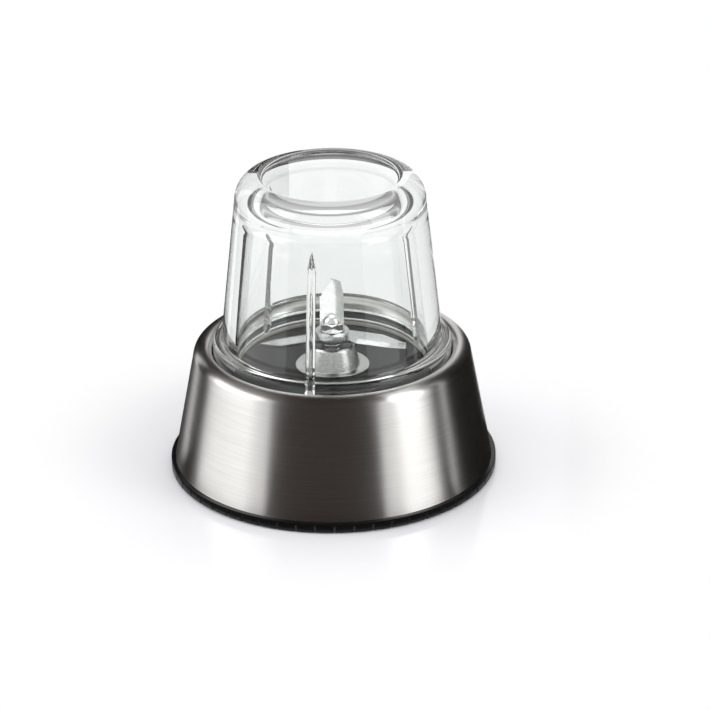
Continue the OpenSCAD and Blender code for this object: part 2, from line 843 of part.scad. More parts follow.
module pin_springs() {
    steps = 14;
    wire_r = spring_wire_d / 2;
    low = seat_top + wire_r + slip / 2;
    high = pin_shoulder_z - wire_r - slip / 2;
    last = spring_turns * steps;
    coil = [
        for (i = [0:last])
            [spring_r * cos(i * 360 / steps), spring_r * sin(i * 360 / steps), low + (high - low) * i / last]
    ];
    color("#a7a9ab") at_turns(pin_turns, pin_ring_r) wire(coil, wire_r, 6);
}

// The pins under the carrier; the one at the back has an arm that pushes the switch
module interlock_pins() {
    color("#e4e2dc") union() {
        at_turns(pin_turns, pin_ring_r) {
            translate([0, 0, pin_end_z]) cylinder(h = collar_z - pin_end_z, r = pin_r);
            translate([0, 0, pin_shoulder_z]) cylinder(h = pin_shoulder_t, r = pin_shoulder_d / 2);
        }
        translate([0, pin_ring_r - plunger_d / 2, pin_shoulder_z]) {
            cube([switch_reach + plunger_d / 2, plunger_d, pin_shoulder_t]);
        }
    }
}

module switch_plunger() {
    color("#c63a2c") translate([switch_reach, pin_ring_r, switch_top - 3]) {
        cylinder(h = plunger_h + 3, r = plunger_d / 2);
    }
}

drive_hub_top = drive_disc_top + drive_hub_h;

module motor_shaft() {
    color("#c2c4c7") translate([0, 0, can_z + inner_gap]) {
        cylinder(h = drive_hub_top - can_z - 2 * inner_gap, r = motor_shaft_r);
    }
}

module armature_core() {
    slot_deep = (core_r - motor_shaft_r) / 2;
    color("#77797d") difference() {
        washer(core_z, core_top - core_z, core_r, motor_shaft_r + press_gap);
        for (i = [0:armature_slots - 1]) {
            rotate(i * 360 / armature_slots) {
                translate([core_r - slot_deep, -armature_slot_w / 2, core_z - 1]) {
                    cube([slot_deep + 1, armature_slot_w, core_top - core_z + 2]);
                }
            }
        }
    }
}

module armature_windings() {
    slot_deep = (core_r - motor_shaft_r) / 2;
    head_in_r = motor_shaft_r + 4.5;
    head_out_r = core_r - 1;
    head_round = winding_h * 0.4;
    bar_z = winding_z + winding_h - 1;
    bar_h = core_top + 1 - bar_z;
    color("#b5713a") union() {
        for (z = [winding_z, core_top]) {
            translate([0, 0, z]) rotate_extrude() polygon([
                [head_in_r, 0], [head_out_r, 0], [head_out_r, winding_h - head_round],
                [head_out_r - head_round, winding_h], [head_in_r + head_round, winding_h],
                [head_in_r, winding_h - head_round]
            ]);
        }
        for (i = [0:armature_slots - 1]) {
            rotate(i * 360 / armature_slots) {
                translate([core_r - slot_deep + slip, slip - armature_slot_w / 2, bar_z]) {
                    cube([slot_deep - 1.5, armature_slot_w - 2 * slip, bar_h]);
                }
            }
        }
    }
}

module commutator() {
    color("#c77f45") difference() {
        washer(commutator_z, commutator_h, commutator_r, motor_shaft_r + press_gap);
        for (i = [0:armature_slots - 1]) {
            rotate((i + 0.5) * 360 / armature_slots) {
                translate([commutator_r - 0.8, -0.2, commutator_z - 1]) cube([2, 0.4, commutator_h + 2]);
            }
        }
    }
}

module drive_coupling() {
    color("#202022") difference() {
        union() {
            translate([0, 0, drive_disc_z]) cylinder(h = drive_disc_t, r = coupling_r);
            translate([0, 0, drive_disc_z]) {
                cylinder(h = drive_disc_t + drive_hub_h, r = dog_in_r - 2 * turn_gap);
            }
            dogs(drive_disc_z + drive_disc_t / 2, drive_dog_top, 0);
        }
        cylinder(h = drive_hub_top + 1, r = motor_shaft_r + press_gap);
    }
}

module driven_coupling() {
    color("#202022") difference() {
        union() {
            translate([0, 0, driven_disc_z]) cylinder(h = driven_disc_t, r = coupling_r);
            dogs(driven_dog_z, driven_disc_z + driven_disc_t / 2, 180 / dog_count);
        }
        cylinder(h = hub_z, r = blade_shaft_r + press_gap);
    }
}

module blade_carrier() {
    skirt_in_r = collar_in_r + 0.6;
    recess_r = coupling_r + 1;
    bore_r = bushing_r + press_gap;
    color("#1d1d1f") rotate_extrude() polygon([
        [bore_r, hub_z], [bore_r, hub_top], [hub_r, hub_top], [hub_foot_r, carrier_floor_top],
        [collar_in_r, carrier_floor_top], [collar_in_r, collar_top - 0.4], [collar_in_r + 0.4, collar_top],
        [collar_r - 0.4, collar_top], [collar_r, collar_top - 0.4], [collar_r, collar_z],
        [skirt_in_r, collar_z], [skirt_in_r, carrier_floor_z],
        [recess_r, carrier_floor_z], [recess_r, hub_z]
    ]);
}

// Steel cap drawn over the carrier's hub, with a flange that lies on the floor
module hub_cap() {
    flange_r = hub_foot_r + 4;
    hole_r = blade_shaft_r + 1.2;
    color("#cfd1d3") rotate_extrude() polygon([
        [flange_r, carrier_floor_top], [flange_r, carrier_floor_top + cap_t],
        [hub_foot_r + cap_t, carrier_floor_top + cap_t], [hub_r + cap_t, hub_top],
        [hub_r, hub_top + cap_t], [hole_r, hub_top + cap_t], [hole_r, hub_top + press_gap],
        [hub_r + press_gap, hub_top + press_gap], [hub_foot_r + press_gap, carrier_floor_top]
    ]);
}

module jar_seal() {
    color("#e9e6df") washer(carrier_floor_top, seal_t, collar_in_r - slip, neck_in_r - fit_gap);
}

lip_seal_z = hub_top - lip_seal_t;

module carrier_bushings() {
    color("#b08d57") union() {
        washer(hub_z, bushing_l, bushing_r, blade_shaft_r + run_gap);
        washer(lip_seal_z - bushing_l, bushing_l, bushing_r, blade_shaft_r + run_gap);
    }
}

module lip_seal() {
    color("#4a4a4c") washer(lip_seal_z, lip_seal_t, bushing_r, blade_shaft_r + run_gap);
}

shaft_collar_z = hub_top + cap_t + hub_gap;
lower_blade_z = shaft_collar_z + shaft_collar_t;
spacer_z = lower_blade_z + blade_t;
upper_blade_z = spacer_z + spacer_t;
nut_z = upper_blade_z + blade_t;

module blade_shaft() {
    color("#c2c4c7") union() {
        translate([0, 0, driven_disc_z]) cylinder(h = nut_z + nut_h - driven_disc_z, r = blade_shaft_r);
        translate([0, 0, shaft_collar_z]) cylinder(h = shaft_collar_t, r = blade_shaft_r + 1.8);
    }
}

// A two-winged blade: each wing is bent by the given angle and ground on top along one edge
module blade(z, bend) {
    flat_r = blade_w * 0.55 + blade_shaft_r / 2;
    wing_l = (blade_sweep_r - flat_r) / cos(bend);
    tip_w = blade_w * 0.45;
    grind_w = blade_w * 0.35;
    grind_turn = atan2(blade_t * 0.8, grind_w);
    edge_y = blade_w / 2;
    root = 0.7;
    difference() {
        union() {
            translate([0, 0, z]) cylinder(h = blade_t, r = flat_r);
            for (turn = [0, 180]) {
                rotate(turn) translate([flat_r - root, 0, z + blade_t / 2]) rotate([0, -bend, 0]) {
                    difference() {
                        translate([-root, 0, -blade_t / 2]) linear_extrude(blade_t) polygon([
                            [0, -edge_y], [wing_l * 0.7, -edge_y], [wing_l, 1 - edge_y],
                            [wing_l + 2 * root, tip_w - edge_y], [wing_l * 0.6, edge_y], [0, edge_y]
                        ]);
                        translate([3 * root, grind_w - edge_y, blade_t / 2]) rotate([grind_turn, 0, 0]) {
                            translate([0, -2 * grind_w, 0]) cube([wing_l + 2, 2 * grind_w, blade_t]);
                        }
                    }
                }
            }
        }
        translate([0, 0, z - 1]) cylinder(h = blade_t + 2, r = blade_shaft_r + press_gap);
    }
}

module lower_blade() {
    color("#d4d6d8") blade(lower_blade_z, -lower_bend);
}

module blade_spacer() {
    color("#c2c4c7") washer(spacer_z, spacer_t, blade_shaft_r + 2, blade_shaft_r + press_gap);
}

module upper_blade() {
    color("#d4d6d8") rotate(90) blade(upper_blade_z, upper_bend);
}

module blade_nut() {
    dome_r = nut_d * 0.36;
    color("#c9cbce") difference() {
        union() {
            translate([0, 0, nut_z]) cylinder(h = nut_h, r = nut_d / 2, $fn = 6);
            intersection() {
                translate([0, 0, nut_z + nut_h - 0.4]) sphere(r = dome_r);
                translate([0, 0, nut_z + nut_h / 2]) cylinder(h = nut_h + dome_r, r = dome_r);
            }
        }
        translate([0, 0, nut_z - 1]) cylinder(h = nut_h + 1 + press_gap, r = blade_shaft_r + press_gap);
    }
}

// Jar outline
jar_top = rim_h + jar_rise;
flange_top = flange_z + flange_h;
flange_round = 1.4;
body_r = collar_r - body_inset;
crest_turn = 85;
dish_fillet = 0.8;
// The dish's wall leans enough for the crest and the fillet to meet in a shallow dish
dish_draft = max(10, asin(1 - dish_deep / (crest_r + dish_fillet)) + 2);
jar_shoulder_x = body_r - body_taper - jar_shoulder_r;
crest_x = jar_shoulder_x + (jar_shoulder_r - crest_r) * cos(crest_turn);
crest_z = jar_top - crest_r;
jar_shoulder_z = crest_z - (jar_shoulder_r - crest_r) * sin(crest_turn);
dish_z = jar_top - dish_deep;
dish_wall_h = dish_deep - (crest_r + dish_fillet) * (1 - sin(dish_draft));
dish_x = crest_x - (crest_r + dish_fillet) * cos(dish_draft) - dish_wall_h * tan(dish_draft);
jar_lean = atan2(body_taper, jar_shoulder_z - flange_top);
cavity_top = dish_z - glass_end_t;
cavity_x = body_r - body_taper - glass_t - cavity_corner_r;
cavity_z = cavity_top - cavity_corner_r;
mouth_top = flange_z;
// Radius of the cavity's wall at a height above the neck
function cavity_r(z) = cavity_x + cavity_corner_r + (neck_in_r - cavity_x - cavity_corner_r)
    * (cavity_z - z) / (cavity_z - mouth_top);

module glass_jar() {
    rib_top = cavity_top - rib_gap;
    rib_tip = 8;
    tip_z = rib_top - rib_tip;
    hollow = concat(
        [[0, cavity_top]],
        arc(cavity_x, cavity_z, cavity_corner_r, 90, 0, 9),
        [[neck_in_r, mouth_top], [neck_in_r, neck_z - 1], [0, neck_z - 1]]
    );
    color([0.85, 0.92, 0.94, 0.45]) union() {
        rotate_extrude() difference() {
            polygon(concat(
                [[0, neck_z], [neck_r - 0.6, neck_z], [neck_r, neck_z + 0.6], [neck_r, flange_z]],
                arc(collar_r - flange_round, flange_z + flange_round, flange_round, -90, 0, 6),
                arc(collar_r - flange_round, flange_top - flange_round, flange_round, 0, 90, 6),
                arc(body_r + flange_fillet, flange_top + flange_fillet, flange_fillet,
                    270, 180 + jar_lean, 6),
                arc(jar_shoulder_x, jar_shoulder_z, jar_shoulder_r, jar_lean, crest_turn, 12),
                arc(crest_x, crest_z, crest_r, crest_turn, 180 - dish_draft, 8),
                arc(dish_x, dish_z + dish_fillet, dish_fillet, -dish_draft, -90, 5),
                [[0, dish_z]]
            ));
            polygon(hollow);
        }
        for (i = [0:rib_count - 1]) {
            rotate(-90 - rib_turn + i * 360 / rib_count) {
                translate([0, rib_w / 2, 0]) rotate([90, 0, 0]) linear_extrude(rib_w) polygon([
                    [neck_in_r - rib_out + 0.6, neck_z + 1.2], [cavity_r(tip_z) - rib_out, tip_z],
                    [cavity_r(rib_top), rib_top], [cavity_r(rib_top) + 1, rib_top],
                    [neck_in_r + 1, neck_z + 1.2]
                ]);
            }
        }
    }
}

bottom_cover();
rubber_feet();
cover_screws();
inner_housing();
steel_skirt();
cord_inlet();
motor_can();
motor_end_plate();
motor_magnets();
motor_bushings();
brush_holders();
carbon_brushes();
motor_screws();
damper_ring();
drip_seal();
micro_switch();
circuit_board();
board_parts();
lead_wires();
pin_springs();
interlock_pins();
switch_plunger();
motor_shaft();
armature_core();
armature_windings();
commutator();
drive_coupling();
blade_carrier();
hub_cap();
jar_seal();
carrier_bushings();
lip_seal();
blade_shaft();
lower_blade();
blade_spacer();
upper_blade();
blade_nut();
driven_coupling();
glass_jar();
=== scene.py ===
import math

import bmesh
import bpy
import numpy as np
from mathutils import Euler, Matrix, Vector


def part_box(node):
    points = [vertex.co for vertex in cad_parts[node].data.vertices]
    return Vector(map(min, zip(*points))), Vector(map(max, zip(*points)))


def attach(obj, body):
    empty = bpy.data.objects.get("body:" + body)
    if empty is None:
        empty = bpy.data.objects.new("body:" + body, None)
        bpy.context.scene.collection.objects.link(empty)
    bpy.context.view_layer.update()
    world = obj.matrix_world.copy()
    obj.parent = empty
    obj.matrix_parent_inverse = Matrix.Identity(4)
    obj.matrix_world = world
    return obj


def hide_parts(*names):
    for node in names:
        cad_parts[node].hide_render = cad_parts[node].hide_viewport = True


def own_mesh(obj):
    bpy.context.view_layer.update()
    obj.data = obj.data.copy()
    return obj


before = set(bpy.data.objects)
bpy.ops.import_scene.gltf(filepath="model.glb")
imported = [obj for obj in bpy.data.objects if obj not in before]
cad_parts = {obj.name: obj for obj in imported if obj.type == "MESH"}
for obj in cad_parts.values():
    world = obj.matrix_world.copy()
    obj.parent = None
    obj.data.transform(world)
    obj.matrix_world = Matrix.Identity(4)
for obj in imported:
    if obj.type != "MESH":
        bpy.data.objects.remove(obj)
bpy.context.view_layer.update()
mm = 0.001


# ---- Camera ------------------------------------------------------------------------------------
# A long lens from the front, 24 degrees above the table. It looks a little to the right of the
# grinder's axis, so the grinder stands left of the middle of the frame.
frame_px = 710
axis_px = 330.2
focal_px = 3228.7
camera_rise = math.radians(24.27)
camera_reach = 1180.7 * mm
look_height = 42.4 * mm
camera_roll = math.radians(-0.55)

camera_data = bpy.data.cameras.new("camera")
camera_data.sensor_width = 36
camera_data.lens = camera_data.sensor_width * focal_px / frame_px
camera = bpy.data.objects.new("camera", camera_data)
bpy.context.scene.collection.objects.link(camera)
bpy.context.scene.camera = camera
camera.location = (0, -camera_reach * math.cos(camera_rise),
                   look_height + camera_reach * math.sin(camera_rise))
aside = (frame_px / 2 - axis_px) / focal_px
aim = Euler((math.pi / 2 - camera_rise, 0, -aside)).to_matrix() @ Matrix.Rotation(camera_roll, 3, "Z")
camera.rotation_euler = aim.to_euler()


# ---- Table and light ---------------------------------------------------------------------------
# A white gloss table top in a bright room. Upright softboxes stand at the left and the right, a soft
# lamp hangs above, and black cards stand around the grinder where the metal is to look dark.
def linear(code):
    """sRGB hex to linear RGBA: c / 12.92 up to 0.04045, and ((c + 0.055) / 1.055) ** 2.4 above it."""
    channels = [int(code[i:i + 2], 16) / 255 for i in (1, 3, 5)]
    return tuple(c / 12.92 if c <= 0.04045 else ((c + 0.055) / 1.055) ** 2.4 for c in channels) + (1.0,)


def add(tree, kind, inputs=None, **settings):
    """Adds a node. settings are its own properties; inputs are socket values, or sockets to link from."""
    node = tree.nodes.new(kind)
    for name, value in settings.items():
        setattr(node, name, value)
    for name, value in (inputs or {}).items():
        if isinstance(value, bpy.types.NodeSocket):
            tree.links.new(value, node.inputs[name])
        else:
            node.inputs[name].default_value = value
    return node


def blank(name):
    """A new material with nothing but its output node; returns the material, its tree and that node."""
    material = bpy.data.materials.new(name)
    material.use_nodes = True
    material.node_tree.nodes.clear()
    return material, material.node_tree, add(material.node_tree, "ShaderNodeOutputMaterial")


def grid_mesh(name, points, uv=None, wrap_columns=True, wrap_rows=False, sharp=35):
    """A surface through points[row, column]. Rows whose points all coincide close to a single pole.

    Each cell is a quad, or a triangle beside a pole. uv[row, column + 1] is kept per corner, so the
    seam where the columns meet stays clean. The faces are turned to make the enclosed volume positive.
    """
    rows, columns = points.shape[:2]
    pole = np.ptp(points, axis=1).max(axis=1) < 1e-9
    index = np.arange(rows * columns).reshape(rows, columns)
    index[pole] = index[pole, :1]
    down = np.arange(rows if wrap_rows else rows - 1)
    across = np.arange(columns if wrap_columns else columns - 1)
    i, j = (a.ravel() for a in np.meshgrid(down, across, indexing="ij"))
    i2, j2 = (i + 1) % rows, (j + 1) % columns
    corners = np.stack([index[i, j], index[i, j2], index[i2, j2], index[i2, j]], axis=1)
    spots = np.stack([i * (columns + 1) + j, i * (columns + 1) + j + 1,
                      i2 * (columns + 1) + j + 1, i2 * (columns + 1) + j], axis=1)
    flat = points.reshape(-1, 3)
    a, b, c, d = (flat[corners[:, k]] for k in range(4))
    volume = (np.cross(b - a, c - a) * a).sum() + (np.cross(c - a, d - a) * a).sum()
    if volume < 0:
        corners, spots = corners[:, ::-1], spots[:, ::-1]
    keep = corners != np.roll(corners, -1, axis=1)
    faces = [row[k].tolist() for row, k in zip(corners, keep)]
    used = [row[k] for row, k in zip(spots, keep)]
    mesh = bpy.data.meshes.new(name)
    mesh.from_pydata(flat.tolist(), [], faces)
    if uv is not None:
        layer = mesh.uv_layers.new(name="around")
        layer.data.foreach_set("uv", uv.reshape(-1, 2)[np.concatenate(used)].astype(np.float32).ravel())
    mesh.shade_smooth()
    mesh.set_sharp_from_angle(angle=math.radians(sharp))
    loose = bmesh.new()
    loose.from_mesh(mesh)
    bmesh.ops.delete(loose, geom=[v for v in loose.verts if not v.link_faces], context="VERTS")
    loose.to_mesh(mesh)
    loose.free()
    piece = bpy.data.objects.new(name, mesh)
    bpy.context.scene.collection.objects.link(piece)
    return piece


def softbox(name, width, height, power, azimuth, reach, rise):
    """A rectangular lamp that looks at the grinder, its width, height, reach and rise in metres.

    The power is in watts, and the azimuth in degrees from the front towards +X.
    """
    lamp = bpy.data.lights.new(name, "AREA")
    lamp.shape = "RECTANGLE"
    lamp.size, lamp.size_y, lamp.energy = width, height, power
    box = bpy.data.objects.new(name, lamp)
    bpy.context.scene.collection.objects.link(box)
    turn = math.radians(azimuth)
    box.location = (reach * math.sin(turn), -reach * math.cos(turn), rise)
    tilt = math.atan2(rise - look_height, reach)
    box.rotation_euler = (math.pi / 2 - tilt, 0, turn)
    box.visible_camera = False
    return box


softbox("softbox_left", 0.95, 1.1, 7.4, -84, 1.0, 0.56)
softbox("softbox_right", 0.50, 1.1, 5.2, 62, 1.0, 0.56)
softbox("lamp_top", 0.9, 0.9, 4.5, 180, 0.25, 1.25).visible_glossy = False

# The room is white to the camera, through the glass and in reflections, and lights the rest at room_level.
room_level = 0.6
bpy.context.scene.view_settings.view_transform = "Standard"
world = bpy.data.worlds.new("studio")
bpy.context.scene.world = world
world.use_nodes = True
world.node_tree.nodes.clear()
ray = add(world.node_tree, "ShaderNodeLightPath")
bright = add(world.node_tree, "ShaderNodeMath", {0: ray.outputs["Is Camera Ray"],
             1: ray.outputs["Is Transmission Ray"]}, operation="MAXIMUM")
bright = add(world.node_tree, "ShaderNodeMath", {0: bright.outputs[0], 1: ray.outputs["Is Glossy Ray"]},
             operation="MAXIMUM")
level = add(world.node_tree, "ShaderNodeMix", {0: bright.outputs[0], 2: room_level, 3: 1.0})
sky = add(world.node_tree, "ShaderNodeBackground", {"Color": (1, 1, 1, 1), "Strength": level.outputs[0]})
add(world.node_tree, "ShaderNodeOutputWorld", {"Surface": sky.outputs[0]})

# The table top: white gloss laminate. Its gloss fades out away from the grinder, so that the table
# mirrors the grinder's foot and not the cards around it.
gloss_r, matt_r = 70 * mm, 135 * mm
table_white, tree, output = blank("table_white_laminate")
matt = add(tree, "ShaderNodeBsdfDiffuse", {"Color": linear("#f1f1f4")})
gloss = add(tree, "ShaderNodeBsdfGlossy", {"Color": (1, 1, 1, 1), "Roughness": 0.12})
edge = add(tree, "ShaderNodeFresnel", {"IOR": 1.5})
place = add(tree, "ShaderNodeTexCoord")
away = add(tree, "ShaderNodeVectorMath", {0: place.outputs["Object"]}, operation="LENGTH")
fade = add(tree, "ShaderNodeMapRange", {"Value": away.outputs["Value"], "From Min": gloss_r,
           "From Max": matt_r, "To Min": 1.0, "To Max": 0.0}, interpolation_type="SMOOTHSTEP")
shine = add(tree, "ShaderNodeMath", {0: edge.outputs[0], 1: fade.outputs[0]}, operation="MULTIPLY")
laminate = add(tree, "ShaderNodeMixShader", {0: shine.outputs[0], 1: matt.outputs[0], 2: gloss.outputs[0]})

# Away from the grinder the table turns into a lit backdrop: it shows as white to the camera and in
# reflections, and the shadows fade out with it.
table_r, backdrop_r = 60 * mm, 130 * mm
path = add(tree, "ShaderNodeLightPath")
seen = add(tree, "ShaderNodeMath", {0: path.outputs["Is Diffuse Ray"], 1: -1.0, 2: 1.0},
           operation="MULTIPLY_ADD")
beyond = add(tree, "ShaderNodeMapRange", {"Value": away.outputs["Value"], "From Min": table_r,
             "From Max": backdrop_r, "To Min": 0.0, "To Max": 1.0}, interpolation_type="SMOOTHSTEP")
share = add(tree, "ShaderNodeMath", {0: seen.outputs[0], 1: beyond.outputs[0]}, operation="MULTIPLY")
white = add(tree, "ShaderNodeEmission", {"Color": (1, 1, 1, 1), "Strength": 1.0})
backdrop = add(tree, "ShaderNodeMixShader", {0: share.outputs[0], 1: laminate.outputs[0],
               2: white.outputs[0]})
tree.links.new(backdrop.outputs[0], output.inputs["Surface"])

floor_reach = 3.0
floor_points = np.array([[(x, y, 0.0) for x in (-floor_reach, floor_reach)]
                         for y in (-floor_reach, floor_reach)])
floor = grid_mesh("table_top", floor_points, wrap_columns=False)
floor.data.materials.append(table_white)

# Black and dark grey cards that only the reflections see. Most start at the foot of the grinder, lie on
# the table along the mirrored lines of sight and stand up at their far end, so that an edge shows as one
# line. One hangs over the rim, and one is a ring at the foot. A card is dark on one side only.
def felt(name, colour):
    """Felt on one side of a card. The other side isn't there."""
    material, tree, output = blank(name)
    nap = add(tree, "ShaderNodeBsdfDiffuse", {"Color": linear(colour)})
    clear = add(tree, "ShaderNodeBsdfTransparent")
    side = add(tree, "ShaderNodeNewGeometry")
    cloth = add(tree, "ShaderNodeMixShader", {0: side.outputs["Backfacing"], 1: clear.outputs[0],
                2: nap.outputs[0]})
    tree.links.new(cloth.outputs[0], output.inputs["Surface"])
    return material


grey_felt, black_felt = felt("card_dark_grey_felt", "#403a38"), felt("card_black_felt", "#1a1717")

# A line of sight that meets the skirt at the azimuth a is mirrored towards mirror_turn a.
mirror_turn = 1.94


def card(name, start, end, profile, cloth=black_felt, seen_through=False, fan=mirror_turn):
    """A card that the skirt mirrors between two azimuths, in degrees from the front towards +X.

    A point of the sheet is foot_reach (sin a, -cos a) + t (sin d, -cos d) with d = fan a, where t and
    the height follow the profile. With a fan of 1 the card lies on circles around the grinder.
    """
    foot_reach = 62 * mm
    turn = np.radians(np.linspace(start, end, 40))
    out, z = np.array(profile).T[..., None]
    x = foot_reach * np.sin(turn) + out * np.sin(fan * turn)
    y = foot_reach * np.cos(turn) + out * np.cos(fan * turn)
    sheet = grid_mesh(name, np.stack([x, -y, z + 0 * turn], axis=2), wrap_columns=False)
    sheet.data.materials.append(cloth)
    for kind in ("camera", "diffuse", "shadow"):
        setattr(sheet, "visible_" + kind, False)
    sheet.visible_transmission = seen_through
    return sheet


lying = [[0, 0.5 * mm], [300 * mm, 0.5 * mm], [300 * mm, 500 * mm]]
hanging = [[70 * mm, 100 * mm], [-18.5 * mm, 100 * mm], [-18.5 * mm, 52 * mm]]
around_foot = [[-0.5 * mm, 0.6 * mm], [12 * mm, 0.6 * mm]]
card("card_front", -26, 19, lying, grey_felt)
card("card_over_rim", -170, 40, hanging, grey_felt, fan=1)
card("card_foot", -180, 180, around_foot, fan=1).data.flip_normals()
card("card_left", -72.5, -61, lying, seen_through=True)
card("card_back_left", -97, -77.5, lying)
card("card_right", 43.5, 49.5, lying, seen_through=True)
card("card_back_right", 52, 88, lying)


# ---- Bottom cover ------------------------------------------------------------------------------
# One moulding in black ABS: the notched ring at the foot of the grinder, and the plate under the
# motor with its air slots, screw holes and spring seats.
def shader(name, colour, **constants):
    """A material with one Principled shader. The constants are set on the shader's own sockets."""
    material, tree, output = blank(name)
    surface = add(tree, "ShaderNodeBsdfPrincipled", {"Base Color": linear(colour), **constants})
    tree.links.new(surface.outputs[0], output.inputs["Surface"])
    return material, tree, surface


def pattern(tree, size, stretch=(1, 1, 1)):
    """Noise on object coordinates. Its patches are size metres wide, times the stretch along X, Y and Z."""
    place = add(tree, "ShaderNodeTexCoord")
    scaled = add(tree, "ShaderNodeMapping", {"Vector": place.outputs["Object"],
                 "Scale": tuple(1 / (size * s) for s in stretch)})
    return add(tree, "ShaderNodeTexNoise", {"Vector": scaled.outputs[0], "Scale": 1.0, "Detail": 3.0})


def vary(tree, surface, socket, noise, low, high):
    """Lets a number on the shader run from low to high with the noise, most of which is 0.3 to 0.7."""
    spread = add(tree, "ShaderNodeMapRange", {"Value": noise.outputs[0], "From Min": 0.3, "From Max": 0.7,
                 "To Min": low, "To Max": high})
    tree.links.new(spread.outputs[0], surface.inputs[socket])


def tint(tree, surface, noise, dark, light):
    """Lets the colour run between two sRGB colours with the noise."""
    blend = add(tree, "ShaderNodeMix", {"Factor": noise.outputs[0], "A": linear(dark), "B": linear(light)},
                data_type="RGBA")
    tree.links.new(blend.outputs["Result"], surface.inputs["Base Color"])


def relief(tree, surface, noise, height):
    """Raises the surface by half of height, in metres, with the noise, as bump."""
    bump = add(tree, "ShaderNodeBump", {"Strength": 0.5, "Distance": height, "Height": noise.outputs[0]})
    tree.links.new(bump.outputs[0], surface.inputs["Normal"])


def finish(name, dark, light, patch, grain, height, shine, stretch=(1, 1, 1), **constants):
    """A material whose colour drifts over patches, and whose grain lifts the surface and varies its shine.

    patch and grain are widths in metres, height is the depth of the grain, shine its two roughnesses.
    The constants go to the shader's other sockets.
    """
    material, tree, surface = shader(name, light, **constants)
    tint(tree, surface, pattern(tree, patch, stretch), dark, light)
    fine = pattern(tree, grain, stretch)
    vary(tree, surface, "Roughness", fine, *shine)
    relief(tree, surface, fine, height)
    return material


def dress(material, *nodes):
    """Gives CAD nodes a material in place of their plain one."""
    for node in nodes:
        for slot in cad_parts[node].material_slots:
            slot.material = material


# Satin ABS: a spark-eroded mould leaves a fine even grain, which dulls the highlights. The ring has a pale
# painted highlight in its notches, standing in for their edges catching light: from 0.15 to 0.85 mm inside
# its outer face, and from 0.6 to 3.4 mm above the table.
ring_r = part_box("bottom_cover")[1].x
notch_highlight_in, notch_highlight_half_t, notch_highlight_z, notch_highlight_half_h = 0.5 * mm, 0.35 * mm, 2.0 * mm, 1.4 * mm
ring_black = finish("satin_abs_black_painted_notch_highlight", "#0b0b0c", "#141415", 14 * mm, 0.6 * mm, 0.01 * mm,
                    (0.26, 0.34), IOR=1.36)
tree = ring_black.node_tree
surface = tree.nodes["Principled BSDF"]
place = add(tree, "ShaderNodeTexCoord")
split = add(tree, "ShaderNodeSeparateXYZ", {"Vector": place.outputs["Object"]})
flat = add(tree, "ShaderNodeVectorMath", {0: place.outputs["Object"], 1: (1, 1, 0)}, operation="MULTIPLY")
out = add(tree, "ShaderNodeVectorMath", {0: flat.outputs[0]}, operation="LENGTH")
deep = add(tree, "ShaderNodeMath", {0: out.outputs["Value"], 1: ring_r - notch_highlight_in, 2: notch_highlight_half_t},
           operation="COMPARE")
level = add(tree, "ShaderNodeMath", {0: split.outputs["Z"], 1: notch_highlight_z, 2: notch_highlight_half_h}, operation="COMPARE")
# Painted highlight: the notches get a paler colour that stands in for their edges catching light.
painted_highlight_mask = add(tree, "ShaderNodeMath", {0: deep.outputs[0], 1: level.outputs[0]}, operation="MULTIPLY")
clean = surface.inputs["Base Color"].links[0].from_socket
painted_notch_highlight = add(tree, "ShaderNodeMix", {"Factor": painted_highlight_mask.outputs[0], "A": clean, "B": linear("#4c4a4c")},
           data_type="RGBA")
tree.links.new(painted_notch_highlight.outputs["Result"], surface.inputs["Base Color"])
dress(ring_black, "bottom_cover")


# ---- Feet and cover screws ---------------------------------------------------------------------
# Four cast rubber discs glued into pockets under the cover, and three zinc-plated pan-head screws
# that hold the cover up against the bosses of the housing.

# Nitrile rubber: matt and slightly mottled, with a bloom that greys it.
foot_rubber = finish("matt_nitrile_rubber", "#1d1d1f", "#2b2b2e", 3 * mm, 0.35 * mm, 0.04 * mm,
                     (0.70, 0.88), IOR=1.5)
dress(foot_rubber, "rubber_feet")

# Bright zinc plating on rolled steel: cool grey, with cloudy patches where the bath left it duller.
zinc = finish("bright_zinc_plate", "#a9aeb4", "#c8ccd0", 2.5 * mm, 0.3 * mm, 0.01 * mm,
              (0.24, 0.40), Metallic=1.0)
dress(zinc, "cover_screws", "motor_screws")


# ---- Motor -------------------------------------------------------------------------------------
# A flat permanent-magnet motor: a deep-drawn steel can with two ferrite magnets, a phenolic end plate
# with the brushes, and oil-filled bushings. A rubber ring between can and housing takes up its hum.

# Galvanised sheet: zinc crystals show as duller and brighter spangles 4 mm wide, in a cloudy grey.
can_steel, tree, surface = shader("galvanised_sheet", "#a3a7aa", Metallic=1.0)
tint(tree, surface, pattern(tree, 5 * mm), "#83878b", "#a3a7aa")
relief(tree, surface, pattern(tree, 0.4 * mm), 0.01 * mm)
place = add(tree, "ShaderNodeTexCoord")
spangle = add(tree, "ShaderNodeTexVoronoi", {"Vector": place.outputs["Object"], "Scale": 1 / (4 * mm)},
              feature="F1")
vary(tree, surface, "Roughness", spangle, 0.34, 0.5)
dress(can_steel, "motor_can")

# Paper-filled phenolic: brown, dull, with short fibres in it.
phenolic = finish("paper_phenolic", "#4b301d", "#6c4a2e", 2 * mm, 0.25 * mm, 0.02 * mm,
                  (0.48, 0.62), stretch=(4, 1, 1), IOR=1.6)
dress(phenolic, "motor_end_plate")

# Sintered ferrite: charcoal grey and ground, with fine open pores.
ferrite = finish("ground_ferrite", "#2c2c30", "#3d3d42", 1.5 * mm, 0.2 * mm, 0.03 * mm,
                 (0.50, 0.66), IOR=2.2)
dress(ferrite, "motor_magnets")

# Sintered bronze, soaked in oil: dark yellow-brown, its pores 0.2 mm apart.
bronze = finish("oiled_sintered_bronze", "#8a6436", "#b08850", 1.2 * mm, 0.2 * mm, 0.03 * mm,
                (0.38, 0.55), Metallic=1.0)
dress(bronze, "motor_bushings", "carrier_bushings")

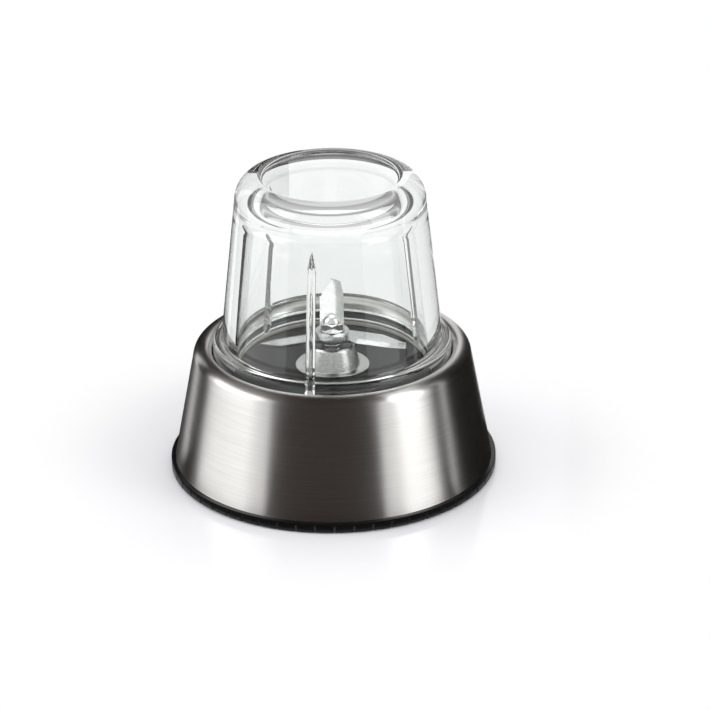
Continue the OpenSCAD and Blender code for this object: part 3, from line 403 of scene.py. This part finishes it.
# Rolled brass strip: drawn lines along its length and a slight brown tarnish.
brass = finish("rolled_brass", "#a98238", "#d0ab5c", 2 * mm, 0.15 * mm, 0.006 * mm,
               (0.22, 0.36), stretch=(20, 1, 1), Metallic=1.0)
dress(brass, "brush_holders")

# Electrographite: near black with a soft lead-like shine where it has worn.
graphite = finish("electrographite", "#1b1b1d", "#2f2f33", 0.8 * mm, 0.12 * mm, 0.01 * mm,
                  (0.42, 0.60), IOR=1.9)
dress(graphite, "carbon_brushes")

# Cellular rubber sheet, punched: dull, with the skins of small cells.
cell_rubber = finish("cellular_rubber", "#202022", "#303033", 2 * mm, 0.5 * mm, 0.08 * mm,
                     (0.82, 0.95), IOR=1.45)
dress(cell_rubber, "damper_ring")


# ---- Rotor -------------------------------------------------------------------------------------
# The motor's shaft carries a stack of slotted steel sheets, the copper windings between them, and
# the commutator that the brushes press on.

# Centreless-ground steel: fine scratches around the shaft, 0.1 mm apart, drawn at 0.2 mm to show.
ground_steel = finish("ground_shaft_steel", "#b4b6b8", "#cfd1d2", 0.6 * mm, 0.2 * mm, 0.004 * mm,
                      (0.16, 0.28), stretch=(30, 30, 1), Metallic=1.0)
dress(ground_steel, "motor_shaft", "blade_shaft")

# Electrical steel: 0.5 mm sheets stacked up, each with a bluish insulating varnish and a cut edge.
lamination = finish("laminated_electrical_steel", "#4b4f57", "#6a6d73", 0.5 * mm, 0.5 * mm, 0.03 * mm,
                    (0.40, 0.58), stretch=(60, 60, 1), Metallic=0.8)
dress(lamination, "armature_core")

# Enamelled copper wire 0.4 mm thick: glossy lacquer over copper, laid in rows.
enamel = finish("enamelled_copper_wire", "#7c3a1a", "#b8662f", 0.4 * mm, 0.4 * mm, 0.10 * mm,
                (0.20, 0.34), stretch=(8, 8, 1), Metallic=0.7, **{"Coat Weight": 0.5})
dress(enamel, "armature_windings")

# Hard copper bars, turned: 14 of them around the shaft, with dark mica between, 0.14 of the pitch.
bar_count, mica_share = 14, 0.14
bars, tree, surface = shader("turned_copper_bars", "#b8703f", Metallic=1.0, Roughness=0.3)
place = add(tree, "ShaderNodeTexCoord")
around = add(tree, "ShaderNodeTexGradient", {"Vector": place.outputs["Object"]}, gradient_type="RADIAL")
pitch = add(tree, "ShaderNodeMath", {0: around.outputs["Fac"], 1: bar_count}, operation="MULTIPLY")
tooth = add(tree, "ShaderNodeMath", {0: pitch.outputs[0], 1: 0.0, 2: 1.0}, operation="WRAP")
mica = add(tree, "ShaderNodeMath", {0: tooth.outputs[0], 1: mica_share}, operation="LESS_THAN")
tint(tree, surface, mica, "#b8703f", "#2a2320")
vary(tree, surface, "Roughness", pattern(tree, 0.2 * mm, stretch=(30, 30, 1)), 0.24, 0.38)
dress(bars, "commutator")


# ---- Interlock ---------------------------------------------------------------------------------
# Three acetal pins on springs hold the jar up. Pressed down, the arm of the back pin pushes the red
# plunger of a small snap-action switch, which starts the motor.

# Natural acetal: waxy white, a little light goes into it.
acetal = finish("natural_acetal", "#dedbd2", "#eceae3", 4 * mm, 0.5 * mm, 0.01 * mm,
                (0.28, 0.38), IOR=1.48, **{"Subsurface Weight": 0.2, "Subsurface Scale": 1.0,
                                           "Subsurface Radius": (0.8 * mm, 0.7 * mm, 0.6 * mm)})
dress(acetal, "interlock_pins")

# The springs are wound from 0.8 mm music wire: five open turns, and a closed turn at each end. At the
# turn t the wire's middle is (coil_r cos t, coil_r sin t, climb), and each point around it lies at
# wire_r (N cos a + B sin a), where N = (cos t, sin t, 0) and B is across N and the wire. The pins stand
# pin_ring_r from the axis at pin_turns degrees.
coil_r, wire_r, open_turns = 2.8 * mm, 0.4 * mm, 5
closed_rise = 2.1 * wire_r
wire_sides, turn_steps = 10, 28
pin_turns = (90, -30, 210)
spring_low, spring_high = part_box("pin_springs")
pin_ring_r = spring_high.y - coil_r - wire_r
wire_low, wire_high = spring_low.z + wire_r, spring_high.z - wire_r
turns = np.linspace(0, open_turns + 2, turn_steps * (open_turns + 2) + 1)
climb = np.interp(turns, [0, 1, open_turns + 1, open_turns + 2],
                  [wire_low, wire_low + closed_rise, wire_high - closed_rise, wire_high])
t = 2 * math.pi * turns
slope = np.gradient(climb, t)[:, None]
t, climb = t[:, None], climb[:, None]
round_wire = np.linspace(0, 2 * math.pi, wire_sides, endpoint=False)
out = coil_r + wire_r * np.cos(round_wire)
side = wire_r * np.sin(round_wire) / np.hypot(coil_r, slope)
coil = np.stack([out * np.cos(t) - side * slope * np.sin(t), out * np.sin(t) + side * slope * np.cos(t),
                 climb - side * coil_r], axis=2)
coil = np.concatenate([coil[:1].mean(axis=1, keepdims=True) + 0 * coil[:1], coil,
                       coil[-1:].mean(axis=1, keepdims=True) + 0 * coil[-1:]])
springs = grid_mesh("pin_springs_wound", coil)
all_springs = bmesh.new()
for turn in pin_turns:
    at_pin = Matrix.Rotation(math.radians(turn), 4, "Z") @ Matrix.Translation((pin_ring_r, 0, 0))
    springs.data.transform(at_pin)
    all_springs.from_mesh(springs.data)
    springs.data.transform(at_pin.inverted())
all_springs.to_mesh(springs.data)
all_springs.free()

# Drawn music wire: grey, with die lines.
music_wire = finish("drawn_music_wire", "#7f8184", "#a4a6a8", 1 * mm, 0.15 * mm, 0.006 * mm,
                    (0.26, 0.40), Metallic=1.0)
springs.data.materials.append(music_wire)
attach(springs, "base")
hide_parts("pin_springs")
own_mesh(springs)

# Glass-filled nylon: glossy black with pale fibres just under the skin.
switch_case = finish("glass_filled_nylon_black", "#131316", "#222226", 0.7 * mm, 0.3 * mm, 0.01 * mm,
                     (0.24, 0.38), stretch=(3, 1, 1), IOR=1.53)
dress(switch_case, "micro_switch")

# Red acetal, moulded glossy.
acetal_red = finish("red_acetal", "#a8231a", "#c3342a", 2 * mm, 0.4 * mm, 0.008 * mm,
                    (0.20, 0.30), IOR=1.48)
dress(acetal_red, "switch_plunger")


# ---- Electrics ---------------------------------------------------------------------------------
# A small board with the suppression capacitor and the rectifier stands beside the motor. Stranded
# copper leads in PVC join it to the cord, the switch and the motor's terminals.

# Glass-epoxy board under green solder mask: the tracks show as paler bands 2 mm wide, over the weave
# of the glass cloth, 0.5 mm.
solder_mask, tree, surface = shader("green_solder_mask", "#1d5b34", Roughness=0.3, IOR=1.5)
place = add(tree, "ShaderNodeTexCoord")
tracks = add(tree, "ShaderNodeMapping", {"Vector": place.outputs["Object"], "Rotation": (0, math.pi / 2, 0)})
tracks = add(tree, "ShaderNodeTexBrick", {"Vector": tracks.outputs[0], "Scale": 1.0, "Mortar Size": 0.4 * mm,
             "Brick Width": 7 * mm, "Row Height": 2 * mm, "Color1": linear("#2f7a48"),
             "Color2": linear("#27693e"), "Mortar": linear("#174a2a")})
tree.links.new(tracks.outputs["Color"], surface.inputs["Base Color"])
weave = pattern(tree, 0.5 * mm)
relief(tree, surface, weave, 0.02 * mm)
vary(tree, surface, "Roughness", weave, 0.24, 0.36)
dress(solder_mask, "circuit_board")

# Epoxy dip on the capacitor and the diodes: amber, glossy, thinner at the edges.
epoxy_dip = finish("amber_epoxy_dip", "#b5801c", "#d9a638", 4 * mm, 1.2 * mm, 0.05 * mm,
                   (0.12, 0.24), IOR=1.55, **{"Coat Weight": 0.3})
dress(epoxy_dip, "board_parts")

# PVC insulation: satin red, with the faint ripple of the strands under it.
pvc_red = finish("red_pvc_insulation", "#8c1f1c", "#a92f2a", 5 * mm, 0.5 * mm, 0.03 * mm,
                 (0.36, 0.48), IOR=1.53)
dress(pvc_red, "lead_wires")


# ---- Inner housing -----------------------------------------------------------------------------
# A moulded cone that carries the steel skin, with the well that the blade carrier slides in. The motor
# hangs under the floor of the well, and a silicone bush keeps spice out of it.

# Matt polypropylene: a flat black with a leathery grain.
matt_black = finish("matt_polypropylene_black", "#111112", "#1c1c1e", 12 * mm, 0.8 * mm, 0.04 * mm,
                    (0.46, 0.58), IOR=1.49)
dress(matt_black, "inner_housing")

# Grey silicone: soft sheen, dusty.
silicone_grey = finish("grey_silicone", "#303033", "#414145", 3 * mm, 0.5 * mm, 0.02 * mm,
                       (0.50, 0.64), IOR=1.43)
dress(silicone_grey, "drip_seal", "lip_seal")


# ---- Steel skirt -------------------------------------------------------------------------------
# Spun from 0.8 mm stainless sheet: a cone with a rounded shoulder and a rolled rim, brushed around
# while it turned on the lathe. The housing inside carries it and the bottom ring holds its foot.
def arc(r, z, radius, start, end, count):
    """Points of an arc about (r, z) in the half plane of an outline, angles in degrees."""
    angle = np.radians(np.linspace(start, end, count))
    return np.stack([r + radius * np.cos(angle), z + radius * np.sin(angle)], axis=1)


def densify(outline, step):
    """Adds points along the straight stretches of an outline, no further apart than step."""
    spots = [outline[:1]]
    for a, b in zip(outline[:-1], outline[1:]):
        count = max(1, int(np.ceil(np.linalg.norm(b - a) / step)))
        spots.append(a + (b - a) * np.linspace(0, 1, count + 1)[1:, None])
    return np.concatenate(spots)


def lathe(name, outline, columns=240, closed=False):
    """A surface of revolution: each outline point (r, z) goes to (r cos a, r sin a, z) for all angles a.

    The UV map runs along the outline in u and around the axis in v, starting at the back.
    """
    turn = math.pi / 2 + np.linspace(0, 2 * math.pi, columns, endpoint=False)
    r, z = outline[:, :1], outline[:, 1:]
    points = np.stack([r * np.cos(turn), r * np.sin(turn), z + 0 * turn], axis=2)
    along = np.concatenate([[0], np.cumsum(np.linalg.norm(np.diff(outline, axis=0), axis=1))])
    u, v = np.meshgrid(along / along[-1], np.linspace(0, 1, columns + 1), indexing="ij")
    return grid_mesh(name, points, np.stack([u, v], axis=2), wrap_rows=closed)


def bore(piece, tool):
    """Cuts the tool's shape out of the piece, clears the empty slot that this leaves, and drops the tool."""
    cut = piece.modifiers.new("hole", "BOOLEAN")
    cut.object, cut.operation, cut.solver = tool, "DIFFERENCE", "MANIFOLD"
    bpy.context.view_layer.objects.active = piece
    bpy.ops.object.modifier_apply(modifier=cut.name)
    piece.data.materials.clear()
    bpy.data.objects.remove(tool)


skirt_low, skirt_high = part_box("steel_skirt")
rim_z = skirt_high.z
foot_z = skirt_low.z
foot_r = skirt_high.x
opening_r = 44 * mm
rim_w = 6.8 * mm
shoulder_radius = 4.2 * mm
sheet_t = 0.8 * mm
lip_h = 2 * mm
shoulder_r = opening_r + rim_w - shoulder_radius
shoulder_z = rim_z - shoulder_radius
lip_radius = shoulder_r - opening_r

# The cone's line is the tangent from the foot to the shoulder's circle. It touches at skirt_lean degrees.
foot_dr, foot_dz = foot_r - shoulder_r, foot_z - shoulder_z
skirt_lean = math.degrees(math.atan2(foot_dz, foot_dr)
                          + math.acos(shoulder_radius / math.hypot(foot_dr, foot_dz)))


def skin(inside):
    """The skirt's outline from foot to lip, a distance inside its outer face."""
    count = 18
    return np.concatenate([
        [[foot_r - inside / math.cos(math.radians(skirt_lean)), foot_z]],
        arc(shoulder_r, shoulder_z, shoulder_radius - inside, skirt_lean, 90, count),
        arc(shoulder_r, rim_z - lip_radius, lip_radius - inside, 90, 180, count),
        [[opening_r + inside, rim_z - lip_radius - lip_h]],
    ])


outer, inner = densify(skin(0), 4 * mm), densify(skin(sheet_t), 4 * mm)
skirt = lathe("steel_skirt_brushed", np.concatenate([outer, inner[::-1]]), columns=288, closed=True)

# The hole for the cord's bush, at the back.
bush_low, bush_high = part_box("cord_inlet")
hole_r, hole_start, hole_l = 4.82 * mm, 45 * mm, 20 * mm
hole_tool = lathe("hole_tool", np.array([[0, 0], [hole_r, 0], [hole_r, hole_l], [0, hole_l]]), columns=48)
hole_tool.data.transform(Matrix.Rotation(-math.pi / 2, 4, "X"))
hole_tool.data.transform(Matrix.Translation((0, hole_start, (bush_low.z + bush_high.z) / 2)))
bore(skirt, hole_tool)

# Brushed stainless 1.4301: abrasive belts leave scratches that run around the skirt. They spread each
# reflection up and down, so lamps show as soft upright bands. The scratches are 0.05 mm apart, drawn at
# 0.25 mm to show, and the belt's pressure drifts over 15 mm.
stainless, tree, surface = shader("brushed_stainless", "#c4c3c0", Metallic=1.0, Roughness=0.3,
                                  Anisotropic=0.82)
turned = add(tree, "ShaderNodeTangent", direction_type="UV_MAP", uv_map="around")
tree.links.new(turned.outputs[0], surface.inputs["Tangent"])
scratches = pattern(tree, 0.25 * mm, stretch=(100, 100, 1))
tint(tree, surface, scratches, "#bbb9b6", "#e0dfdc")
vary(tree, surface, "Roughness", pattern(tree, 15 * mm), 0.28, 0.32)
relief(tree, surface, scratches, 0.0006 * mm)
skirt.data.materials.append(stainless)
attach(skirt, "base")
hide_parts("steel_skirt")

# The cord's bush in the back of the skirt, moulded in soft black nylon.
soft_nylon = finish("soft_nylon_black", "#101011", "#1d1d1f", 3 * mm, 0.5 * mm, 0.02 * mm,
                    (0.38, 0.50), IOR=1.53)
dress(soft_nylon, "cord_inlet")


# ---- Coupling ----------------------------------------------------------------------------------
# Two dogs of hard rubber-filled nylon, moulded and pressed on: one on the motor's shaft, one on the
# blade shaft. They rub on each other, so their black teeth are worn shiny in places.
dog_nylon = finish("worn_nylon_black", "#141415", "#262628", 2 * mm, 0.4 * mm, 0.02 * mm,
                   (0.30, 0.55), IOR=1.53)
dress(dog_nylon, "drive_coupling", "driven_coupling")


# ---- Blade carrier -----------------------------------------------------------------------------
# A black moulded cup that closes the mouth of the jar. Its hub holds the blade shaft's bushings under
# a pressed steel cap, and a silicone ring between cup and glass keeps it tight.
def rounded(outline, radius, count=5):
    """An outline[..., corner, 2] with every corner eased, still closed.

    Each corner P becomes (1 - t)^2 A + 2 t (1 - t) P + t^2 B, where A and B lie on its two edges at
    the radius from P, or at 0.45 of the edge if that is shorter.
    """
    before, after = np.roll(outline, 1, axis=-2) - outline, np.roll(outline, -1, axis=-2) - outline
    ease = []
    for edge in (before, after):
        long = np.linalg.norm(edge, axis=-1, keepdims=True)
        ease.append(outline + edge * np.minimum(radius / np.maximum(long, 1e-9), 0.45))
    t = np.linspace(0, 1, count)[:, None]
    a, p, b = (k[..., None, :] for k in (ease[0], outline, ease[1]))
    curve = (1 - t) ** 2 * a + 2 * t * (1 - t) * p + t ** 2 * b
    return curve.reshape(outline.shape[:-2] + (-1, 2))


flange_z = rim_z - 3.3 * mm
collar_low, collar_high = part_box("blade_carrier")
collar_r, collar_z, hub_top = collar_high.x, collar_low.z, collar_high.z
seal_low, seal_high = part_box("jar_seal")
floor_top = seal_low.z
collar_top = flange_z - 0.3 * mm
collar_in = collar_r - 3.7 * mm
floor_under = floor_top - 2.4 * mm
bore_r, hub_r, hub_foot, recess_r = 4.52 * mm, 7.5 * mm, 9.5 * mm, 11 * mm
recess_z = floor_under + 1.7 * mm
skirt_in = collar_in + 0.6 * mm
carrier_outline = np.array([
    [bore_r, recess_z], [bore_r, hub_top], [hub_r, hub_top], [hub_foot, floor_top],
    [collar_in, floor_top], [collar_in, collar_top], [collar_r, collar_top], [collar_r, collar_z],
    [skirt_in, collar_z], [skirt_in, floor_under], [recess_r, floor_under], [recess_r, recess_z],
])
carrier = lathe("blade_carrier_cup", rounded(carrier_outline, 0.5 * mm), closed=True)

# Matt ABS: grained twice as deep as the ring at the foot, so spice doesn't cling, and it shines less.
abs_matt = finish("matt_abs_black", "#0a0a0b", "#131314", 14 * mm, 0.6 * mm, 0.02 * mm,
                  (0.40, 0.50), IOR=1.53, **{"Specular IOR Level": 0.2})
carrier.data.materials.append(abs_matt)
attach(carrier, "carrier")
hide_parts("blade_carrier")

# The cap: 0.6 mm stainless sheet drawn over the hub, its foot turned out flat on the floor.
cap_t, cap_play, cap_hole, cap_flange = 0.6 * mm, 0.02 * mm, 3.7 * mm, 13.5 * mm
cap_outline = np.array([
    [cap_flange, floor_top], [cap_flange, floor_top + cap_t], [hub_foot + cap_t, floor_top + cap_t],
    [hub_r + cap_t, hub_top], [hub_r, hub_top + cap_t], [cap_hole, hub_top + cap_t],
    [cap_hole, hub_top + cap_play], [hub_r + cap_play, hub_top + cap_play], [hub_foot + cap_play, floor_top],
])
cap = lathe("hub_cap_drawn", rounded(cap_outline, 0.25 * mm), columns=128, closed=True)

# Cold-drawn stainless, tumbled: the draw marks are gone, and a fine even haze is left.
drawn_steel = finish("tumbled_stainless", "#b3b3b1", "#cdcdcb", 1.5 * mm, 0.25 * mm, 0.006 * mm,
                     (0.20, 0.34), Metallic=1.0)
cap.data.materials.append(drawn_steel)
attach(cap, "carrier")
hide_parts("hub_cap")

seal_in = 35.7 * mm
seal_outline = np.array([[seal_in, seal_low.z], [seal_high.x, seal_low.z],
                         [seal_high.x, seal_high.z], [seal_in, seal_high.z]])
seal = lathe("jar_seal_ring", rounded(seal_outline, 0.8 * mm), closed=True)

# Translucent silicone: milky, and light spreads in it.
milky = finish("translucent_silicone", "#cfccc4", "#dddad2", 5 * mm, 0.6 * mm, 0.01 * mm,
               (0.40, 0.52), IOR=1.43, **{"Subsurface Weight": 0.4, "Subsurface Scale": 1.0,
                                          "Subsurface Radius": (1.5 * mm, 1.4 * mm, 1.2 * mm)})
seal.data.materials.append(milky)
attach(seal, "carrier")
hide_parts("jar_seal")


# ---- Blades ------------------------------------------------------------------------------------
# Two crossed blades pressed from 1.2 mm hardened stainless, the lower bent down and the upper bent up.
# A spacer keeps them apart and a cap nut clamps them on the shaft.
blade_t, blade_w, sweep_r, flat_r = 1.2 * mm, 9 * mm, 27 * mm, 6.2 * mm
blade_hole = 2.52 * mm
grind_w, grind_h, grind_run = 3.15 * mm, 0.96 * mm, 2.5 * mm
root_in, root_l = 0.7 * mm, 3 * mm


def blade(name, middle_z, bend, turn):
    """A two-winged blade as a closed section carried along its bent middle line.

    The middle line turns from flat to the bend at the root of each wing: its slope at the distance s is
    bend * smooth((|s| - flat_r + root_in) / root_l), and x and z are the running sums of its cosine and
    sine. Across, the section runs between two edges, each ground on top where it leads. Both edges draw
    in near the tip, the trailing one past the middle line, and round the hub they follow a disc.
    """
    s = np.linspace(0, (sweep_r - flat_r) / math.cos(bend) + flat_r, 90)
    ramp = np.clip((s - flat_r + root_in) / root_l, 0, 1)
    slope = bend * ramp ** 2 * (3 - 2 * ramp)
    step = np.diff(s)
    x = np.concatenate([[0], np.cumsum(step * np.cos(slope[1:]))])
    z = np.concatenate([[0], np.cumsum(step * np.sin(slope[1:]))])
    wing = np.clip((s - flat_r) / (s[-1] - flat_r), 0, 1)
    disc = np.sqrt(np.clip(flat_r ** 2 - s ** 2, 0, None))
    half = blade_w / 2
    lead = np.maximum(np.interp(wing, [0, 0.7, 0.97, 1], [half, half, half - 1 * mm, half - 2.2 * mm]), disc)
    trail = np.maximum(np.interp(wing, [0, 0.6, 1], [half, half, -0.9 * mm]), disc)
    ground = np.clip((s - flat_r) / grind_run, 0, 1)
    flip = slice(None, 0, -1)
    x, z = np.concatenate([-x[flip], x]), np.concatenate([z[flip], z])
    tilt = np.concatenate([-slope[flip], slope])
    low, high = np.concatenate([-trail[flip], -lead]), np.concatenate([lead[flip], trail])
    cut_low, cut_high = np.concatenate([0 * ground[flip], ground]), np.concatenate([ground[flip], 0 * ground])
    top, under = blade_t / 2 + 0 * x, -blade_t / 2 + 0 * x
    loop = np.stack([
        [low + grind_w * cut_low + 0.02 * mm, top], [low, top - grind_h * cut_low], [low, under],
        [high, under], [high, top - grind_h * cut_high], [high - grind_w * cut_high - 0.02 * mm, top],
    ]).transpose(2, 0, 1)
    loop = rounded(loop, 0.12 * mm, 3)
    loop = np.concatenate([loop[:1].mean(axis=1, keepdims=True) + 0 * loop[:1], loop,
                           loop[-1:].mean(axis=1, keepdims=True) + 0 * loop[-1:]])
    x, z, tilt = (np.concatenate([k[:1], k, k[-1:]])[:, None] for k in (x, z, tilt))
    across, thick = loop[..., 0], loop[..., 1]
    place = np.stack([x - thick * np.sin(tilt), across + 0 * x, z + thick * np.cos(tilt) + middle_z], axis=2)
    spin = np.array([[math.cos(turn), -math.sin(turn), 0], [math.sin(turn), math.cos(turn), 0], [0, 0, 1]])
    piece = grid_mesh(name, place @ spin.T, sharp=25)
    tool_low, tool_high = middle_z - 3 * mm, middle_z + 3 * mm
    tool = lathe("hole_tool", np.array([[0, tool_low], [blade_hole, tool_low],
                                        [blade_hole, tool_high], [0, tool_high]]), columns=48)
    bore(piece, tool)
    return piece


# Hardened blade stainless, stoned: an even grain 0.2 mm wide that takes the edge off its shine.
blade_steel = finish("stoned_blade_stainless", "#aaabab", "#cfd0d0", 1.5 * mm, 0.2 * mm, 0.006 * mm,
                     (0.18, 0.32), Metallic=1.0)
lower_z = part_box("blade_spacer")[0].z - blade_t / 2
upper_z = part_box("blade_spacer")[1].z + blade_t / 2
for name, node, middle_z, bend, turn in (("lower_blade_ground", "lower_blade", lower_z, -9, 0),
                                         ("upper_blade_ground", "upper_blade", upper_z, 24, 90)):
    piece = blade(name, middle_z, math.radians(bend), math.radians(turn))
    piece.data.materials.append(blade_steel)
    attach(piece, "blades")
    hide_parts(node)

dress(drawn_steel, "blade_spacer")

# The cap nut: a hexagon turned off to a cone at both ends, with a dome over the end of the shaft.
# Its radius at a turn a is the smaller of the hexagon's, flat / cos(a from the middle of the flat),
# and the turned outline's at that height.
nut_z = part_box("blade_nut")[0].z
nut_corner, nut_h, dome_r, nut_bore = 4.6 * mm, 3.4 * mm, 3.312 * mm, 2.52 * mm
cone_h, face_in, sink, dome_in, web = 0.45 * mm, 0.15 * mm, 0.3 * mm, 0.4 * mm, 0.02 * mm
nut_flat = nut_corner * math.cos(math.pi / 6)
dome_z = nut_z + nut_h - dome_in
dome_start = math.degrees(math.asin(dome_in / dome_r))
turned = np.concatenate([
    [[0, nut_z + nut_h + web], [nut_bore, nut_z + nut_h + web], [nut_bore, nut_z + sink]],
    [[nut_bore + sink, nut_z], [nut_flat - face_in, nut_z], [nut_corner, nut_z + cone_h]],
    [[nut_corner, nut_z + nut_h - cone_h], [nut_flat - face_in, nut_z + nut_h]],
    arc(0, dome_z, dome_r, dome_start, 90, 14),
])
turned[-1, 0] = 0
turned = densify(turned, 0.25 * mm)
sweep = np.linspace(0, 2 * math.pi, 144, endpoint=False)
hexagon = nut_flat / np.cos((sweep + math.pi / 6) % (math.pi / 3) - math.pi / 6)
nut_r = np.minimum(turned[:, :1], hexagon)
nut = grid_mesh("cap_nut_hexagon", np.stack([nut_r * np.cos(sweep), nut_r * np.sin(sweep),
                                             turned[:, 1:] + 0 * sweep], axis=2), sharp=28)

# Turned A2 stainless, polished by tumbling.
nut_steel = finish("polished_stainless", "#c0c0bf", "#d6d6d5", 1.2 * mm, 0.2 * mm, 0.003 * mm,
                   (0.10, 0.20), Metallic=1.0)
nut.data.materials.append(nut_steel)
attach(nut, "blades")
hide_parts("blade_nut")


# ---- Glass jar ---------------------------------------------------------------------------------
# Pressed soda-lime glass, upturned: a thick tapered wall with a dished closed end, a bead at the mouth
# and three ribs inside that throw the load back into the blades. It is one pressing with no seam.
jar_low, jar_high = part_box("glass_jar")
jar_top, mouth_z, bead_r = jar_high.z, jar_low.z, jar_high.x
neck_r = 39.5 * mm
neck_t = 4.1 * mm
flange_top = flange_z + 6.1 * mm
flange_round = 1.4 * mm
fillet = 1.6 * mm
body_r = bead_r - 3.3 * mm
taper = 5.8 * mm
jar_shoulder = 9 * mm
wall_t = 4.6 * mm
end_t = 8.4 * mm
corner = 7 * mm
crest_radius, crest_turn = 1.4 * mm, 85

# From the dish's floor a fillet, a short straight wall and the crest's arc lead over into the shoulder,
# which the crest meets at crest_turn degrees. The wall leans dish_draft degrees from the vertical, 2 more
# than where the two arcs alone would meet.
dish_h, dish_fillet = 1.5 * mm, 0.8 * mm
bends = crest_radius + dish_fillet
dish_draft = math.degrees(math.asin(1 - dish_h / bends)) + 2
dish_wall = dish_h - bends * (1 - math.sin(math.radians(dish_draft)))
round_r = body_r - taper - jar_shoulder
crest_r = round_r + (jar_shoulder - crest_radius) * math.cos(math.radians(crest_turn))
crest_z = jar_top - crest_radius
round_z = crest_z - (jar_shoulder - crest_radius) * math.sin(math.radians(crest_turn))
dish_z = jar_top - dish_h
dish_r = crest_r - bends * math.cos(math.radians(dish_draft)) - dish_wall * math.tan(math.radians(dish_draft))
jar_lean = math.degrees(math.atan2(taper, round_z - flange_top))
cavity_top = dish_z - end_t
cavity_r = body_r - taper - wall_t - corner
outside = np.concatenate([
    [[0, dish_z]],
    arc(dish_r, dish_z + dish_fillet, dish_fillet, -90, -dish_draft, 12),
    arc(crest_r, crest_z, crest_radius, 180 - dish_draft, crest_turn, 14),
    arc(round_r, round_z, jar_shoulder, crest_turn, jar_lean, 24)[1:],
    arc(body_r + fillet, flange_top + fillet, fillet, 180 + jar_lean, 270, 10),
    arc(bead_r - flange_round, flange_top - flange_round, flange_round, 90, 0, 9),
    arc(bead_r - flange_round, flange_z + flange_round, flange_round, 0, -90, 9),
    [[neck_r, flange_z], [neck_r, mouth_z + 0.6 * mm], [neck_r - 0.6 * mm, mouth_z]],
])
inside = np.concatenate([
    [[neck_r - neck_t, mouth_z], [neck_r - neck_t, flange_z]],
    arc(cavity_r, cavity_top - corner, corner, 0, 90, 16),
    [[0, cavity_top]],
])
outline = densify(np.concatenate([outside, inside]), 1.5 * mm)
inside_from = len(densify(outside, 1.5 * mm))

# A rib's section is half an ellipse, rib_half wide to each side and rib_out deep. It narrows to a point
# over rib_tip below the closed end, and sinks into the wall over rib_foot above the mouth. Each has extra
# columns within rib_span radians, so that its edges stay crisp; rib_reach turns those angles into widths.
rib_count, rib_turn, rib_half, rib_out = 3, 12.5, 1.5 * mm, 2.4 * mm
rib_gap, rib_tip, rib_lift, rib_foot = 6.8 * mm, 8 * mm, 0.8 * mm, 2 * mm
rib_reach, rib_span = 33 * mm, 0.11
rib_angles = np.radians(-90 - rib_turn + np.arange(rib_count) * 360 / rib_count)
coarse = np.linspace(0, 2 * math.pi, 180, endpoint=False)
close = (rib_angles[:, None] + np.linspace(-rib_span, rib_span, 33)).ravel() % (2 * math.pi)
turn = np.unique(np.round(np.concatenate([coarse, close]), 5))
gap = (turn[:, None] - rib_angles + math.pi) % (2 * math.pi) - math.pi
nearest = gap[np.arange(len(turn)), np.abs(gap).argmin(axis=1)]
r, z = outline[:, :1], outline[:, 1:]
aside = np.abs(nearest) * rib_reach
rib_top = cavity_top - rib_gap
narrow = np.clip((rib_top - z) / rib_tip, 1e-3, 1)
ridge = np.clip(1 - (aside / (rib_half * narrow)) ** 2, 0, 1) ** 0.5
fade = np.clip((rib_top - z) / rib_tip, 0, 1) * np.clip((z - mouth_z - rib_lift) / rib_foot, 0, 1)
is_inside = np.arange(len(outline))[:, None] >= inside_from
radius = r - rib_out * ridge * fade * is_inside
points = np.stack([radius * np.cos(turn), radius * np.sin(turn), z + 0 * turn], axis=2)
jar = grid_mesh("glass_jar_clear", points, sharp=50)

# Clear soda-lime glass, fire-polished: index 1.52, and a faint green-grey cast.
glass, tree, surface = shader("clear_pressed_glass", "#fbfdfc", Roughness=0.0, IOR=1.52,
                              **{"Transmission Weight": 1.0, "Emission Color": (1, 1, 1, 1)})

# Light that has been mirrored four times inside the wall is traced no further. There the light of the
# room stands in for it: dim at the mouth, which the base shades, and brighter in the thick closed end.
mouth_light, end_light, dim_z, bright_z = 0.09, 0.35, 80 * mm, 108 * mm
path = add(tree, "ShaderNodeLightPath")
trapped = add(tree, "ShaderNodeMath", {0: path.outputs["Glossy Depth"], 1: 3.5}, operation="GREATER_THAN")
place = add(tree, "ShaderNodeTexCoord")
height = add(tree, "ShaderNodeSeparateXYZ", {0: place.outputs["Object"]})
room = add(tree, "ShaderNodeMapRange", {"Value": height.outputs["Z"], "From Min": dim_z,
           "From Max": bright_z, "To Min": mouth_light, "To Max": end_light}, interpolation_type="SMOOTHSTEP")
dim = add(tree, "ShaderNodeMath", {0: trapped.outputs[0], 1: room.outputs[0]}, operation="MULTIPLY")
tree.links.new(dim.outputs[0], surface.inputs["Emission Strength"])
jar.data.materials.append(glass)
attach(jar, "jar")
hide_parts("glass_jar")
